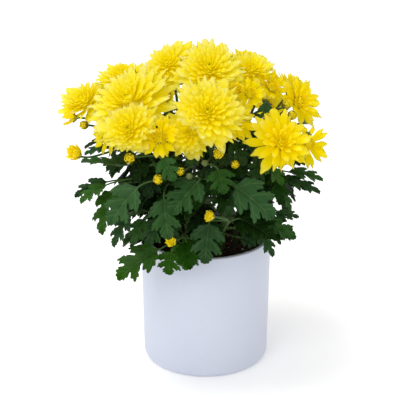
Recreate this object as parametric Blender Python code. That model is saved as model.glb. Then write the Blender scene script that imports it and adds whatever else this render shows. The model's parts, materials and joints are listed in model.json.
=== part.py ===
"""Pot chrysanthemum in a plain glazed pot: soil, six leafy cuttings, their yellow blooms and buds, and a tie.

Metres, +Z up. The origin is the centre of the pot's underside, and -Y is the side towards the viewer.
Positions in the tables are in millimetres, angles in degrees. An azimuth turns from +X towards +Y.
"""

import math
import random
from collections import namedtuple

import bmesh
import bpy
from mathutils import Matrix, Vector
from mathutils.bvhtree import BVHTree
from mathutils.geometry import convex_hull_2d

MM = 0.001
TOUCH_GAP = 0.3 * MM
CLEAR_GAP = 0.5 * MM
WELD = 0.002 * MM
FLAT_ANGLE = math.radians(0.5)
SHARP_ANGLE = math.radians(32)

# The pot and its soil.
POT_DIAMETER = 135 * MM
POT_BASE_DIAMETER = 131 * MM
POT_HEIGHT = 136 * MM
POT_WALL = 4.5 * MM
POT_FLOOR = 6 * MM
POT_BASE_ROUND = 6 * MM
POT_LIP_ROUND = 1.6 * MM
POT_SIDES = 32
SOIL_DROP = 13 * MM
SOIL_MOUND = 4 * MM
SOIL_ROUGHNESS = 1.2 * MM
SOIL_SIDES = 16
SOIL_SEED = 5

# The cuttings stand in holes in the soil, on a circle round the pot's axis.
CUTTING_CIRCLE = 30 * MM
CUTTING_DEPTH = 26 * MM
FORK_HEIGHT = 172 * MM
SHOOT_SPACING = 9 * MM
STEM_RADIUS = 2.9 * MM
STEM_LEAN = 6 * MM
SHOOT_RADIUS = 2.1 * MM
STALK_RADIUS = 1.2 * MM
CUTTINGS = {
    "front_left": -125,
    "front_right": -58,
    "right": -4,
    "back_right": 55,
    "back_left": 116,
    "left": 178,
}

# The blades.
LEAF_THICKNESS = 0.8 * MM
PETIOLE_WIDTH = 2.2 * MM
PETIOLE_THICKNESS = 1.7 * MM
LEAST_PETIOLE = 11 * MM

# The tie is a thin cord drawn round the outer shoots, lower on the right.
TIE_RADIUS = 0.6 * MM
TIE_CENTRE = Vector((-8, 0, 206)) * MM
TIE_TILT = 18

# eye is the middle of the flower as one looks into it, azimuth and rise say where it faces.
Flower = namedtuple("Flower", "eye azimuth rise diameter kind")
FLOWERS = {
    "front_centre": Flower((1, -97, 299), -88, 40, 70, "full"),
    "front_low": Flower((-17, -76, 271), -105, 30, 50, "full"),
    "front_small": Flower((-44, -82, 269), -92, 28, 36, "half"),
    "front_right_upper": Flower((43, -45, 301), -80, 28, 30, "half"),
    "front_right_back": Flower((30, -66, 282), -50, 32, 44, "half"),
    "right_front": Flower((73, -77, 265), -78, 36, 62, "full"),
    "right_low": Flower((106, -32, 245), -12, 14, 34, "half"),
    "right_high": Flower((98, 0, 281), -38, 32, 50, "full"),
    "right_mid": Flower((68, -2, 296), -45, 36, 36, "half"),
    "top_right": Flower((46, 4, 311), -62, 60, 46, "full"),
    "top_centre": Flower((3, -36, 323), -86, 54, 64, "full"),
    "top_small": Flower((-8, 12, 323), -90, 66, 34, "half"),
    "top_left": Flower((-38, -2, 318), -112, 54, 44, "full"),
    "top_left_back": Flower((-26, 38, 321), 105, 74, 46, "full"),
    "left_back": Flower((-86, 8, 304), 160, 66, 52, "full"),
    "left": Flower((-123, -2, 281), 206, 48, 52, "full"),
    "left_side": Flower((-135, -16, 266), 190, 4, 28, "half"),
    "left_upper": Flower((-76, -46, 294), -112, 54, 72, "full"),
    "left_lower": Flower((-73, -78, 275), -104, 36, 60, "full"),
    "left_under": Flower((-99, -48, 262), -148, 14, 42, "half"),
    "back_right_top": Flower((46, 62, 304), 55, 60, 62, "full"),
    "back_right": Flower((94, 52, 279), 28, 40, 56, "full"),
    "back_right_low": Flower((70, 100, 250), 54, 22, 48, "full"),
    "back_top": Flower((-24, 84, 300), 108, 54, 62, "full"),
    "back_low": Flower((14, 112, 266), 84, 30, 60, "full"),
    "back_left_low": Flower((-58, 110, 256), 118, 26, 54, "full"),
    "back_left": Flower((-90, 66, 281), 146, 44, 60, "full"),
    "bud_left_open": Flower((-132, -24, 232), 215, 34, 20, "opening"),
    "bud_top_left": Flower((-39, -34, 295), -95, 30, 20, "opening"),
    "bud_top_right": Flower((29, -52, 306), -80, 26, 20, "opening"),
    "bud_left_front": Flower((-73, -84, 248), -100, 20, 13, "bud"),
    "bud_front_left": Flower((-46, -96, 231), -110, 15, 12, "bud"),
    "bud_front": Flower((-25, -93, 238), -120, 10, 10, "bud"),
    "bud_under_centre": Flower((12, -88, 254), -85, 14, 13, "bud"),
    "bud_front_right": Flower((28, -88, 243), -80, 12, 10, "bud"),
    "bud_low_front": Flower((2, -101, 196), -150, 18, 15, "opening"),
    "bud_low_left": Flower((-34, -97, 168), -120, 14, 15, "opening"),
    "bud_right_a": Flower((80, -17, 281), -40, 40, 11, "bud"),
    "bud_right_b": Flower((86, -24, 272), -60, 24, 12, "bud"),
    "bud_right_c": Flower((60, -44, 276), -85, 22, 12, "bud"),
    "bud_right_low": Flower((72, -74, 240), -85, 4, 13, "bud"),
    "bud_left_side": Flower((-122, -24, 261), -130, 16, 11, "bud"),
    "bud_back_right": Flower((108, 62, 240), 30, 20, 13, "bud"),
    "bud_back_left": Flower((-104, 84, 244), 140, 22, 13, "bud"),
}
GREEN_BUDS = {
    "green_front": Flower((-16, -92, 233), -100, 30, 7, "green"),
    "green_centre": Flower((-1, -88, 245), -90, 34, 7, "green"),
    "green_right": Flower((101, -38, 256), -40, 30, 8, "green"),
}

# Each shoot ends in its first flower. The others leave it on side stalks, at that share of its length.
Shoot = namedtuple("Shoot", "cutting terminal side_stalks")
SHOOTS = (
    Shoot("front_left", "left_lower", (("left_under", 0.55), ("bud_left_front", 0.62))),
    Shoot("front_left", "front_small", (("bud_front_left", 0.5), ("bud_top_left", 0.6))),
    Shoot("front_left", "front_low", (("bud_front", 0.5), ("green_front", 0.42))),
    Shoot("front_left", "bud_low_left", ()),
    Shoot("front_right", "front_centre", (("bud_under_centre", 0.62), ("green_centre", 0.5))),
    Shoot("front_right", "top_centre", (("bud_top_right", 0.7),)),
    Shoot("front_right", "front_right_back", (("bud_front_right", 0.5), ("front_right_upper", 0.6))),
    Shoot("front_right", "bud_low_front", ()),
    Shoot("right", "right_front", (("bud_right_low", 0.6), ("bud_right_c", 0.52))),
    Shoot("right", "right_high", (("bud_right_b", 0.66), ("right_low", 0.45), ("green_right", 0.55))),
    Shoot("right", "right_mid", (("bud_right_a", 0.7),)),
    Shoot("back_right", "top_right", ()),
    Shoot("back_right", "back_right", (("bud_back_right", 0.6),)),
    Shoot("back_right", "back_right_top", (("back_right_low", 0.5),)),
    Shoot("back_left", "back_top", (("back_low", 0.5),)),
    Shoot("back_left", "back_left_low", (("bud_back_left", 0.5),)),
    Shoot("back_left", "top_left_back", (("top_small", 0.62),)),
    Shoot("left", "left", (("left_side", 0.7), ("bud_left_side", 0.6), ("bud_left_open", 0.48))),
    Shoot("left", "left_back", (("back_left", 0.55),)),
    Shoot("left", "left_upper", ()),
    Shoot("left", "top_left", ()),
)

# The leaves that show most: where the blade starts, where its tip is, its width over its length, its roll.
Leaf = namedtuple("Leaf", "base tip width roll")
SHOWN_LEAVES = (
    Leaf((-64, -92, 222), (-91, -106, 185), 0.92, 0),
    Leaf((-40, -92, 211), (-35, -108, 174), 0.80, 0),
    Leaf((-6, -90, 228), (-33, -112, 201), 0.86, 8),
    Leaf((26, -88, 222), (64, -97, 191), 0.88, 0),
    Leaf((11, -92, 240), (17, -106, 220), 1.10, 0),
    Leaf((3, -80, 180), (-1, -95, 143), 0.84, 0),
    Leaf((53, -64, 161), (66, -74, 138), 0.62, -10),
    Leaf((63, -50, 163), (95, -56, 147), 0.60, 40),
    Leaf((72, -46, 212), (114, -48, 196), 0.62, 15),
    Leaf((88, -30, 218), (121, -34, 216), 0.66, 10),
    Leaf((76, -62, 208), (80, -78, 178), 0.70, 20),
    Leaf((72, -20, 170), (104, -24, 163), 0.52, 50),
    Leaf((-97, -64, 213), (-123, -76, 195), 0.86, 0),
    Leaf((-104, -48, 222), (-132, -54, 200), 0.62, 30),
    Leaf((-90, -58, 206), (-101, -74, 162), 0.70, -10),
    Leaf((-46, -76, 150), (-86, -92, 124), 0.90, 0),
    Leaf((-33, -80, 150), (-36, -88, 128), 1.20, 0),
    Leaf((-74, -58, 178), (-90, -74, 151), 0.70, 0),
    Leaf((-59, -70, 180), (-70, -84, 158), 0.80, 0),
    Leaf((-82, -54, 230), (-121, -62, 236), 0.60, 20),
    Leaf((-94, -30, 240), (-120, -34, 233), 0.70, 0),
    Leaf((-46, -90, 251), (-30, -106, 233), 1.00, 0),
    Leaf((-12, -78, 160), (-20, -90, 134), 0.90, 0),
    Leaf((30, -76, 200), (42, -96, 170), 0.80, 0),
)
# The leaves that follow a rule, in millimetres and in degrees from straight outwards.
LEAF_LENGTH_HIGH = 38 * MM
LEAF_LENGTH_LOW = 56 * MM
LEAF_TURN_HIGH = 40
LEAF_TURN_LOW = 48
LEAF_SEED = 11

# Half of a leaf's lobed edge, from the petiole to the tip: (share of the length, share of the half width).
LEAF_EDGE = (
    (0.24, 0.80),
    (0.44, 1.00),
    (0.43, 0.42),
    (0.72, 0.90),
    (0.68, 0.34),
    (0.88, 0.40),
)
LEAF_RIB_SHARES = (0.22, 0.45, 0.70)
LEAF_LOBE_LIFT = (0.02, -0.05, 0.03, -0.05, 0.03, -0.02)

# A flower's heart, from its flat underside up: each ring's radius and height, in radii of the flower.
# Each ring is turned half a step from the one below, so that a petal's flat upper edge sits on a keel.
HEARTS = {
    "full": ((0.16, 0.00), (0.25, 0.11), (0.27, 0.24), (0.18, 0.37)),
    "half": ((0.18, 0.00), (0.30, 0.14), (0.24, 0.32)),
    "opening": ((0.30, 0.00), (0.58, 0.22), (0.50, 0.62)),
    "bud": ((0.42, 0.00), (0.98, 0.56), (0.84, 1.22), (0.34, 1.62)),
    "green": ((0.42, 0.00), (1.00, 0.66), (0.46, 1.34)),
}
HEART_TOPS = {"full": 0.46, "half": 0.42, "opening": 0.78, "bud": 1.66, "green": 1.44}
HEART_SIDES = {"full": 8, "half": 6, "opening": 6, "bud": 6, "green": 5}
EYE_HEIGHT = {"full": 0.44, "half": 0.42, "opening": 0.80, "bud": 1.10, "green": 1.10}
# The petals on each band of the heart, outermost first: length, rise, width, bend, in radii and degrees.
Band = namedtuple("Band", "length rise width bend")
PETALS = {
    "full": (Band(0.78, 1, 0.50, -8), Band(0.62, 28, 0.42, -3), Band(0.44, 58, 0.28, 14)),
    "half": (Band(0.76, 5, 0.56, -6), Band(0.58, 38, 0.46, 6)),
    "opening": (Band(0.62, 48, 0.54, 30),),
    "bud": (),
    "green": (),
}
PETAL_SEED = 3
PETAL_SHOULDER = 0.60
PETAL_KEEL = 0.05
PETAL_LEAST_KEEL = 0.8 * MM
PETAL_TIP = 0.46

MATERIALS = {
    "glazed_pot": ((0.78, 0.80, 0.86), 0.45),
    "soil": ((0.035, 0.024, 0.016), 0.95),
    "leaf_green": ((0.035, 0.120, 0.030), 0.55),
    "petal_yellow": ((0.93, 0.72, 0.02), 0.60),
    "tie_green": ((0.02, 0.10, 0.12), 0.50),
}

Solid = namedtuple("Solid", "points faces")


def direction(azimuth, rise):
    """The unit vector that points at an azimuth and rises above the horizon, both in degrees."""
    a, e = math.radians(azimuth), math.radians(rise)
    return Vector((math.cos(a) * math.cos(e), math.sin(a) * math.cos(e), math.sin(e)))


def bezier(a, b, c, d, count):
    """Points evenly spaced in parameter along a cubic curve, both ends included."""
    points = []
    for i in range(count):
        t = i / (count - 1)
        s = 1 - t
        points.append(a * s**3 + b * (3 * s * s * t) + c * (3 * s * t * t) + d * t**3)
    return points


def along(points, share):
    """The point at a share of a polyline's list of points."""
    place = share * (len(points) - 1)
    i = min(int(place), len(points) - 2)
    return points[i].lerp(points[i + 1], place - i)


def tube(points, radii, sides):
    """A closed tube round a polyline, with a flat cap at each end."""
    across = (points[1] - points[0]).orthogonal().normalized()
    rings = []
    for i, point in enumerate(points):
        before = points[max(i - 1, 0)]
        after = points[min(i + 1, len(points) - 1)]
        tangent = (after - before).normalized()
        across = (across - tangent * across.dot(tangent)).normalized()
        other = tangent.cross(across)
        turns = [2 * math.pi * k / sides for k in range(sides)]
        rings.append([point + (across * math.cos(a) + other * math.sin(a)) * radii[i] for a in turns])
    return stacked(rings)


def stacked(rings):
    """A closed solid through rings of equal length, which turn anticlockwise seen from the last."""
    sides = len(rings[0])
    points = [p for ring in rings for p in ring]
    faces = [tuple(reversed(range(sides)))]
    for i in range(len(rings) - 1):
        low, high = i * sides, (i + 1) * sides
        for k in range(sides):
            n = (k + 1) % sides
            faces.append((low + k, low + n, high + n, high + k))
    top = (len(rings) - 1) * sides
    faces.append(tuple(range(top, top + sides)))
    return Solid(points, faces)


def moved(solid, matrix):
    return Solid([matrix @ p for p in solid.points], solid.faces)


def flower_seat(flower):
    """The matrix of a flower: its origin on the stalk's end, its Z along the way that it faces."""
    facing = direction(flower.azimuth, flower.rise)
    foot = Vector(flower.eye) * MM - facing * (EYE_HEIGHT[flower.kind] * flower.diameter / 2 * MM)
    return Matrix.Translation(foot) @ facing.to_track_quat("Z", "Y").to_matrix().to_4x4()


def cutting_foot(name):
    return direction(CUTTINGS[name], 0) * CUTTING_CIRCLE


def stem_node(cutting):
    return "leafy_stem_" + cutting


def soil_level():
    return POT_HEIGHT - SOIL_DROP


def stem_line(name):
    """A cutting's own stem, from its cut end in the soil to where the shoots leave it."""
    foot = cutting_foot(name)
    lean = direction(CUTTINGS[name], 0) * STEM_LEAN
    heights = (soil_level() - CUTTING_DEPTH, soil_level() + 4 * MM, soil_level() + 22 * MM, FORK_HEIGHT)
    return [foot + lean * share + Vector((0, 0, height)) for share, height in zip((0, 0, 0.3, 1), heights)]


def stalk_end(flower):
    """Where a stalk ends, just under its flower, and the way that it arrives."""
    facing = direction(flower.azimuth, flower.rise)
    return flower_seat(flower).translation - facing * TOUCH_GAP, facing


def shoot_line(shoot):
    """A shoot's line from its cutting's stem to its first flower. Each one leaves lower than the one before."""
    earlier = [other for other in SHOOTS[:SHOOTS.index(shoot)] if other.cutting == shoot.cutting]
    flower = FLOWERS[shoot.terminal]
    end, facing = stalk_end(flower)
    low, high = stem_line(shoot.cutting)[-2:]
    start = high.lerp(low, (4 * MM + len(earlier) * SHOOT_SPACING) / (high - low).length)
    reach = (end - start).length
    outward = Vector((end.x - start.x, end.y - start.y, 0)) * 0.36
    rise = Vector((0, 0, 0.30 * reach))
    return bezier(start, start + outward + rise, end - facing * (0.40 * reach), end, 6)


def side_line(line, share, flower):
    """A side stalk's line, from a shoot to its flower."""
    end, facing = stalk_end(flower)
    start = along(line, share)
    ahead = (along(line, share + 0.04) - start).normalized()
    reach = (end - start).length
    return bezier(start, start + ahead * (0.35 * reach), end - facing * (0.35 * reach), end, 4)


def thinned(line, count):
    """count points of a finely drawn line, both ends included."""
    return [along(line, i / (count - 1)) for i in range(count)]


def stalk_tube(line, low_radius, high_radius, flower, sides):
    """A stalk that ends in the flat green cup under its flower."""
    cup = HEARTS[flower.kind][0][0] * flower.diameter / 2 * MM + 0.4 * MM
    facing = direction(flower.azimuth, flower.rise)
    count = len(line)
    radii = [low_radius + (high_radius - low_radius) * i / (count - 1) for i in range(count - 1)]
    points = line[:-1] + [line[-1] - facing * (0.30 * cup + 1.6 * MM), line[-1]]
    return tube(points, radii + [high_radius, cup], sides)


def heart(flower):
    """A flower's heart as a closed solid of triangles, with the bands that petals grow from.

    A band lists, for each petal, its azimuth and the three corners of its root: left, right and keel.
    """
    size = flower.diameter / 2 * MM
    sides = HEART_SIDES[flower.kind]
    rings = HEARTS[flower.kind]
    step = 2 * math.pi / sides
    points = []
    for n, (radius, height) in enumerate(rings):
        for k in range(sides):
            turn = step * (k + 0.5 * (n % 2))
            points.append(Vector((math.cos(turn) * radius, math.sin(turn) * radius, height)) * size)
    points.append(Vector((0, 0, HEART_TOPS[flower.kind] * size)))
    faces = [tuple(reversed(range(sides)))]
    bands = []
    for n in range(len(rings) - 1):
        low, high = n * sides, (n + 1) * sides
        shift = n % 2
        band = []
        for k in range(sides):
            after = (k + 1) % sides
            left = high + (k if shift else (k - 1) % sides)
            right = high + (after if shift else k)
            faces.append((low + k, low + after, right))
            azimuth = math.degrees(step * (k + 0.5 * shift))
            band.append((azimuth, (right, left, low + k)))
        bands.append(band)
    top = (len(rings) - 1) * sides
    faces += [(top + k, top + (k + 1) % sides, len(points) - 1) for k in range(sides)]
    return points, faces, bands


def closed_heart(flower):
    points, faces, bands = heart(flower)
    return Solid(points, faces + [root for band in bands for _, root in band])


def petal_reach(corners, azimuth, rise, bend, length, width, size):
    """Where a petal goes from its root's corners: the three corners of its shoulder and the two of its tip."""
    out = direction(azimuth, 0)
    side = Vector((-out.y, out.x, 0))
    root = (corners[0] + corners[1]) / 2

    def heading(angle):
        a = math.radians(angle)
        return out * math.cos(a) + Vector((0, 0, math.sin(a)))

    shoulder = root + heading(rise) * (PETAL_SHOULDER * length)
    tip = shoulder + heading(rise + bend) * ((1 - PETAL_SHOULDER) * length)
    half = width / 2
    keel = heading(rise + 90) * max(PETAL_KEEL * size, PETAL_LEAST_KEEL)
    return [shoulder + side * half, shoulder - side * half, shoulder - keel,
            tip + side * (half * PETAL_TIP), tip - side * (half * PETAL_TIP)]


def petal_faces(root, first):
    """The faces from a root's three corners out to the five points that start at first."""
    a, b, c = root
    p, q, k, u, v = range(first, first + 5)
    return [(a, b, q, p), (b, c, k, q), (c, a, p, k), (p, q, v, u), (q, k, v), (k, p, u), (k, u, v)]


def petal_shadow(corners, reach, margin):
    """The petal as a solid of its own that starts a little out from its root, wider by a margin."""
    middle = sum(reach, Vector()) / len(reach)
    near = [c.lerp(r, 0.16) for c, r in zip(corners, reach)]
    points = []
    for p in near + reach:
        away = p - middle
        points.append(p + away.normalized() * margin if margin else p)
    lift = (reach[0] - reach[2]).cross(reach[1] - reach[2]).normalized() * margin
    if margin:
        points = [p + (lift if (p - reach[2]).dot(lift) > 0 else -lift) for p in points]
    return Solid(points, [(0, 2, 1)] + petal_faces((0, 1, 2), 3))


def leaf_frame(base, tip, roll, share):
    """Where a leaf's rib is at a share of its length, with its side and its upper face's direction."""
    outward = Vector((base.x + tip.x, base.y + tip.y, 0)).normalized()
    upward = (outward + Vector((0, 0, 1.0))).normalized()
    chord = tip - base
    arch = upward * (0.16 * chord.length)
    bend = base.lerp(tip, 0.5) + arch
    place = base * (1 - share) ** 2 + bend * (2 * share * (1 - share)) + tip * share**2
    tangent = ((bend - base) * (1 - share) + (tip - bend) * share).normalized()
    face = (upward - tangent * upward.dot(tangent)).normalized()
    face = Matrix.Rotation(math.radians(roll), 3, tangent) @ face
    return place, tangent.cross(face), face


def leaf(root, base, tip, width, roll, margin=0.0, petiole=True):
    """A lobed blade, arched and slightly folded on its rib, on a petiole that starts at root."""
    length = (tip - base).length
    half = width * length / 2

    def at(share, out, lift=0.0):
        place, side, face = leaf_frame(base, tip, roll, share)
        fold = 0.16 * abs(out) * half
        return place + side * (out * half) + face * (fold + lift * length), face

    stem_half = PETIOLE_WIDTH / 2 / half
    right = [at(0, stem_half)] + [at(s, w, z) for (s, w), z in zip(LEAF_EDGE, LEAF_LOBE_LIFT)]
    left = [at(0, -stem_half)] + [at(s, -w, z) for (s, w), z in zip(LEAF_EDGE, LEAF_LOBE_LIFT)]
    rib = [at(s, 0) for s in LEAF_RIB_SHARES] + [at(1, 0)]
    rows = right + left + rib
    thick = LEAF_THICKNESS / 2 + margin
    top = [p + face * thick for p, face in rows]
    under = [p - face * thick for p, face in rows]
    edge = len(right)
    m1, m2, m3, end = (2 * edge + i for i in range(4))
    half_faces = [(0, 1, m1), (1, 2, 3), (1, 3, m1), (m1, 3, m2), (3, 4, 5), (3, 5, m2), (m2, 5, m3),
                  (5, 6, m3), (6, end, m3)]
    mirror = [tuple(i + edge if i < edge else i for i in reversed(f)) for f in half_faces]
    upper = [tuple(f) for f in half_faces + mirror] + [(0, m1, edge)]
    count = len(rows)
    faces = upper + [tuple(i + count for i in reversed(f)) for f in upper]
    border = list(range(edge)) + [end] + list(reversed(range(edge, 2 * edge)))
    faces += [(b, a, a + count, b + count) for a, b in zip(border, border[1:])]
    points = top + under
    if not petiole:
        faces.append((0, edge, edge + count, count))
        return Solid(points, faces)
    return with_petiole(points, faces, root, base, (0, edge, edge + count, count), roll, tip)


def with_petiole(points, faces, root, base, mouth, roll, tip):
    """Carries the blade's narrow end on to the stem."""
    _, side, _ = leaf_frame(base, tip, roll, 0)
    axis = (base - root).normalized()
    wide = (side - axis * side.dot(axis)).normalized() * (PETIOLE_WIDTH / 2)
    thick = axis.cross(wide).normalized() * (PETIOLE_THICKNESS / 2)
    if thick.dot(points[mouth[0]] - points[mouth[3]]) < 0:
        thick = -thick
    first = len(points)
    points += [root + wide + thick, root - wide + thick, root - thick]
    right, left, low = first, first + 1, first + 2
    faces += [(mouth[0], mouth[1], left, right), (mouth[1], mouth[2], low, left), (mouth[2], mouth[3], low),
              (mouth[3], mouth[0], right, low), (right, left, low)]
    return Solid(points, faces)


class Bed:
    """What is already in place, so that what comes next can be bent clear of it."""

    def __init__(self):
        self.kept = []

    def add(self, owner, solid):
        self.kept.append((owner, *around(solid), BVHTree.FromPolygons(solid.points, solid.faces)))

    def crosses(self, solid, owner, own):
        """Whether a solid cuts what is in place: what its owner has if own is true, or else what others have."""
        middle, reach = around(solid)
        tree = None
        for other_owner, centre, radius, other in self.kept:
            if (other_owner == owner) != own or (centre - middle).length > reach + radius:
                continue
            tree = tree or BVHTree.FromPolygons(solid.points, solid.faces)
            if tree.overlap(other):
                return True
        return False


def around(solid):
    """The middle and the radius of a ball that holds a solid."""
    middle = sum(solid.points, Vector()) / len(solid.points)
    return middle, max((p - middle).length for p in solid.points)


def petal_candidates():
    """Ways to lay a petal, as more rise and a share of its length: as meant, then raised, then shortened."""
    for share in (1.0, 0.88, 0.74, 0.58):
        for more in (0, 9, 18, 28, 40):
            yield more, share


def flower_head(name, flower, bed, rng):
    """A flower's heart with its petals drawn out of it. One that has no clear way to lie is left out."""
    size = flower.diameter / 2 * MM
    seat = flower_seat(flower)
    points, faces, bands = heart(flower)
    points = [seat @ p for p in points]
    own = []
    for band, shape in zip(bands, PETALS[flower.kind]):
        for azimuth, root in band:
            sway = rng.uniform(-4, 4)
            long = shape.length * size * rng.uniform(0.93, 1.07)
            lift = shape.rise + rng.uniform(-4, 4)
            corners = [points[i] for i in root]
            flat = [seat.inverted() @ p for p in corners]
            for more, share in petal_candidates():
                reach = petal_reach(flat, azimuth + sway, lift + more, shape.bend, long * share,
                                    shape.width * size, size)
                reach = [seat @ p for p in reach]
                wide = petal_shadow(corners, reach, CLEAR_GAP)
                slim = BVHTree.FromPolygons(*petal_shadow(corners, reach, 0))
                if bed.crosses(wide, name, own=False) or any(slim.overlap(other) for other in own):
                    continue
                faces += petal_faces(root, len(points))
                points += reach
                own.append(slim)
                bed.add(name, petal_shadow(corners, reach, 0))
                break
            else:
                faces.append(root)
    faces += [root for band in bands[len(PETALS[flower.kind]):] for _, root in band]
    return Solid(points, faces)


def leaf_candidates(base, tip, root):
    """Ways to lay a leaf: as it is meant, then turned a little about its root, then shortened."""
    yield base, tip
    for share in (1.0, 0.86, 0.72):
        for turn, dip in ((0, 12), (12, 0), (-12, 0), (0, -14), (16, 14), (-16, 14), (26, -8), (-26, -8), (0, 28)):
            spin = Matrix.Rotation(math.radians(turn), 3, "Z")
            run = tip - root
            side = Vector((-run.y, run.x, 0)).normalized()
            dive = Matrix.Rotation(math.radians(dip), 3, side)
            turned_base = root + spin @ (dive @ (base - root))
            turned_tip = root + spin @ (dive @ (tip - root))
            yield turned_base, turned_base.lerp(turned_tip, share)


def place_leaf(bed, owner, root, base, tip, width, roll):
    """The first way to lay a leaf that is clear of everything else, or None."""
    for b, t in leaf_candidates(base, tip, root):
        whole = leaf(root, b, t, width, roll, margin=CLEAR_GAP)
        blade = leaf(root, b, t, width, roll, margin=CLEAR_GAP, petiole=False)
        if not bed.crosses(whole, owner, own=False) and not bed.crosses(blade, owner, own=True):
            return leaf(root, b, t, width, roll)
    return None


def hold_for(holds, base, tip):
    """The cutting, and the place on it, that a leaf's petiole can best come from: near, below and behind."""
    forward = ((base + tip) / 2 + Vector((0, 0, 0.1 * (tip - base).length)) - base).normalized()
    best = None
    for cutting, places in holds:
        for place in places:
            run = base - place
            if run.length < LEAST_PETIOLE or run.z < -4 * MM:
                continue
            cost = run.length * (1.7 - run.normalized().dot(forward))
            if best is None or cost < best[0]:
                best = (cost, cutting, place)
    return best[1], best[2]


def rule_leaves(shoot_lines):
    """The other leaves: near the top of each shoot, lower down away from the viewer, and low on the stems."""
    rng = random.Random(LEAF_SEED)
    places = [(cutting, along(line, 0.60), 1) for cutting, line in shoot_lines]
    places += [(cutting, along(line, 0.28), 0) for cutting, line in shoot_lines if CUTTINGS[cutting] > -20]
    for cutting in CUTTINGS:
        places += [(cutting, along(stem_line(cutting), 0.80), 0)] * 2
    for number, (cutting, root, high) in enumerate(places):
        outward = math.degrees(math.atan2(root.y, root.x))
        turn = (LEAF_TURN_HIGH if high else LEAF_TURN_LOW) * rng.uniform(0.7, 1.3)
        way = outward + (turn if number % 2 else -turn)
        long = (LEAF_LENGTH_HIGH if high else LEAF_LENGTH_LOW) * rng.uniform(0.9, 1.1)
        base = root + direction(way, 26) * (15 * MM)
        tip = base + direction(way, rng.uniform(-40, -15)) * long
        yield cutting, root, base, tip, rng.uniform(0.72, 0.9), rng.uniform(-12, 12)


def plane_crossing(line, origin, normal):
    """Where a line first passes a plane, or None."""
    for a, b in zip(line, line[1:]):
        da, db = (a - origin).dot(normal), (b - origin).dot(normal)
        if da <= 0 < db:
            return a.lerp(b, da / (da - db))
    return None


def tie_solid(lines):
    """A cord drawn tight round the outermost shoots, in a plane that dips to the right."""
    dip = Matrix.Rotation(math.radians(TIE_TILT), 3, "Y")
    normal = dip @ Vector((0, 0, 1))
    along_x, along_y = dip @ Vector((1, 0, 0)), Vector((0, 1, 0))
    flat = []
    for line in lines:
        hit = plane_crossing(line, TIE_CENTRE, normal)
        if hit is not None:
            flat.append(((hit - TIE_CENTRE).dot(along_x), (hit - TIE_CENTRE).dot(along_y)))
    corners = [Vector(flat[i]) for i in convex_hull_2d(flat)]
    away = SHOOT_RADIUS * 1.25 + TIE_RADIUS + TOUCH_GAP
    loop = []
    for i, corner in enumerate(corners):
        before = (corner - corners[i - 1]).normalized()
        after = (corners[(i + 1) % len(corners)] - corner).normalized()
        for side in (before, after):
            loop.append(corner + Vector((side.y, -side.x)) * away)
    area = sum(a.x * b.y - b.x * a.y for a, b in zip(corners, corners[1:] + corners[:1]))
    if area < 0:
        loop.reverse()
    path = [TIE_CENTRE + along_x * p.x + along_y * p.y for p in loop]
    return ring_tube(path, TIE_RADIUS, 4)


def ring_tube(path, radius, sides):
    """A closed tube round a closed path."""
    count = len(path)
    points, faces = [], []
    for i in range(count):
        tangent = (path[(i + 1) % count] - path[i - 1]).normalized()
        across = Vector((0, 0, 1)).cross(tangent).normalized()
        other = tangent.cross(across)
        for k in range(sides):
            a = 2 * math.pi * k / sides
            points.append(path[i] + (across * math.cos(a) + other * math.sin(a)) * radius)
    for i in range(count):
        n = (i + 1) % count
        for k in range(sides):
            m = (k + 1) % sides
            faces.append((i * sides + k, i * sides + m, n * sides + m, n * sides + k))
    return Solid(points, faces)


def pot_profile():
    """The pot's section, from the middle of its underside, up the outside and down the inside."""
    r_top, r_base = POT_DIAMETER / 2, POT_BASE_DIAMETER / 2
    rounding = [
        (r_base - POT_BASE_ROUND * (1 - math.sin(a)), POT_BASE_ROUND * (1 - math.cos(a)))
        for a in (math.radians(d) for d in (0, 45, 90))
    ]
    lip = POT_LIP_ROUND
    inner_top, inner_base = r_top - POT_WALL, r_base - POT_WALL
    rim = [(r_top, POT_HEIGHT - lip), (r_top - lip, POT_HEIGHT), (inner_top + lip, POT_HEIGHT),
           (inner_top, POT_HEIGHT - lip)]
    return rounding + rim + [(inner_base, POT_FLOOR + 4 * MM), (inner_base - 4 * MM, POT_FLOOR)]


def pot_solid():
    """The pot, turned about its axis, closed by a flat underside and a flat floor."""
    turns = [2 * math.pi * k / POT_SIDES for k in range(POT_SIDES)]
    rings = [[Vector((math.cos(a) * r, math.sin(a) * r, z)) for a in turns] for r, z in pot_profile()]
    return stacked(rings)


def soil_solid():
    """The soil, with a slightly raised and crumbly top."""
    rng = random.Random(SOIL_SEED)
    inner = POT_BASE_DIAMETER / 2 - POT_WALL - TOUCH_GAP * 2
    floor = POT_FLOOR + TOUCH_GAP
    turns = [2 * math.pi * k / SOIL_SIDES for k in range(SOIL_SIDES)]

    def ring(radius, height, rough=0.0):
        return [
            Vector((math.cos(a) * radius, math.sin(a) * radius, height + rng.uniform(-rough, rough)))
            for a in turns
        ]

    rings = [ring(inner - 5 * MM, floor), ring(inner, floor + 5 * MM), ring(inner, soil_level())]
    for share in (0.80, 0.55, 0.25):
        rings.append(ring(inner * share, soil_level() + SOIL_MOUND * (1 - share * share), SOIL_ROUGHNESS))
    return stacked(rings)


def new_material(name):
    colour, roughness = MATERIALS[name]
    material = bpy.data.materials.new(name)
    material.use_nodes = True
    shader = material.node_tree.nodes["Principled BSDF"]
    shader.inputs["Base Color"].default_value = (*colour, 1)
    shader.inputs["Roughness"].default_value = roughness
    shader.inputs["Metallic"].default_value = 0.0
    return material


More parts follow.
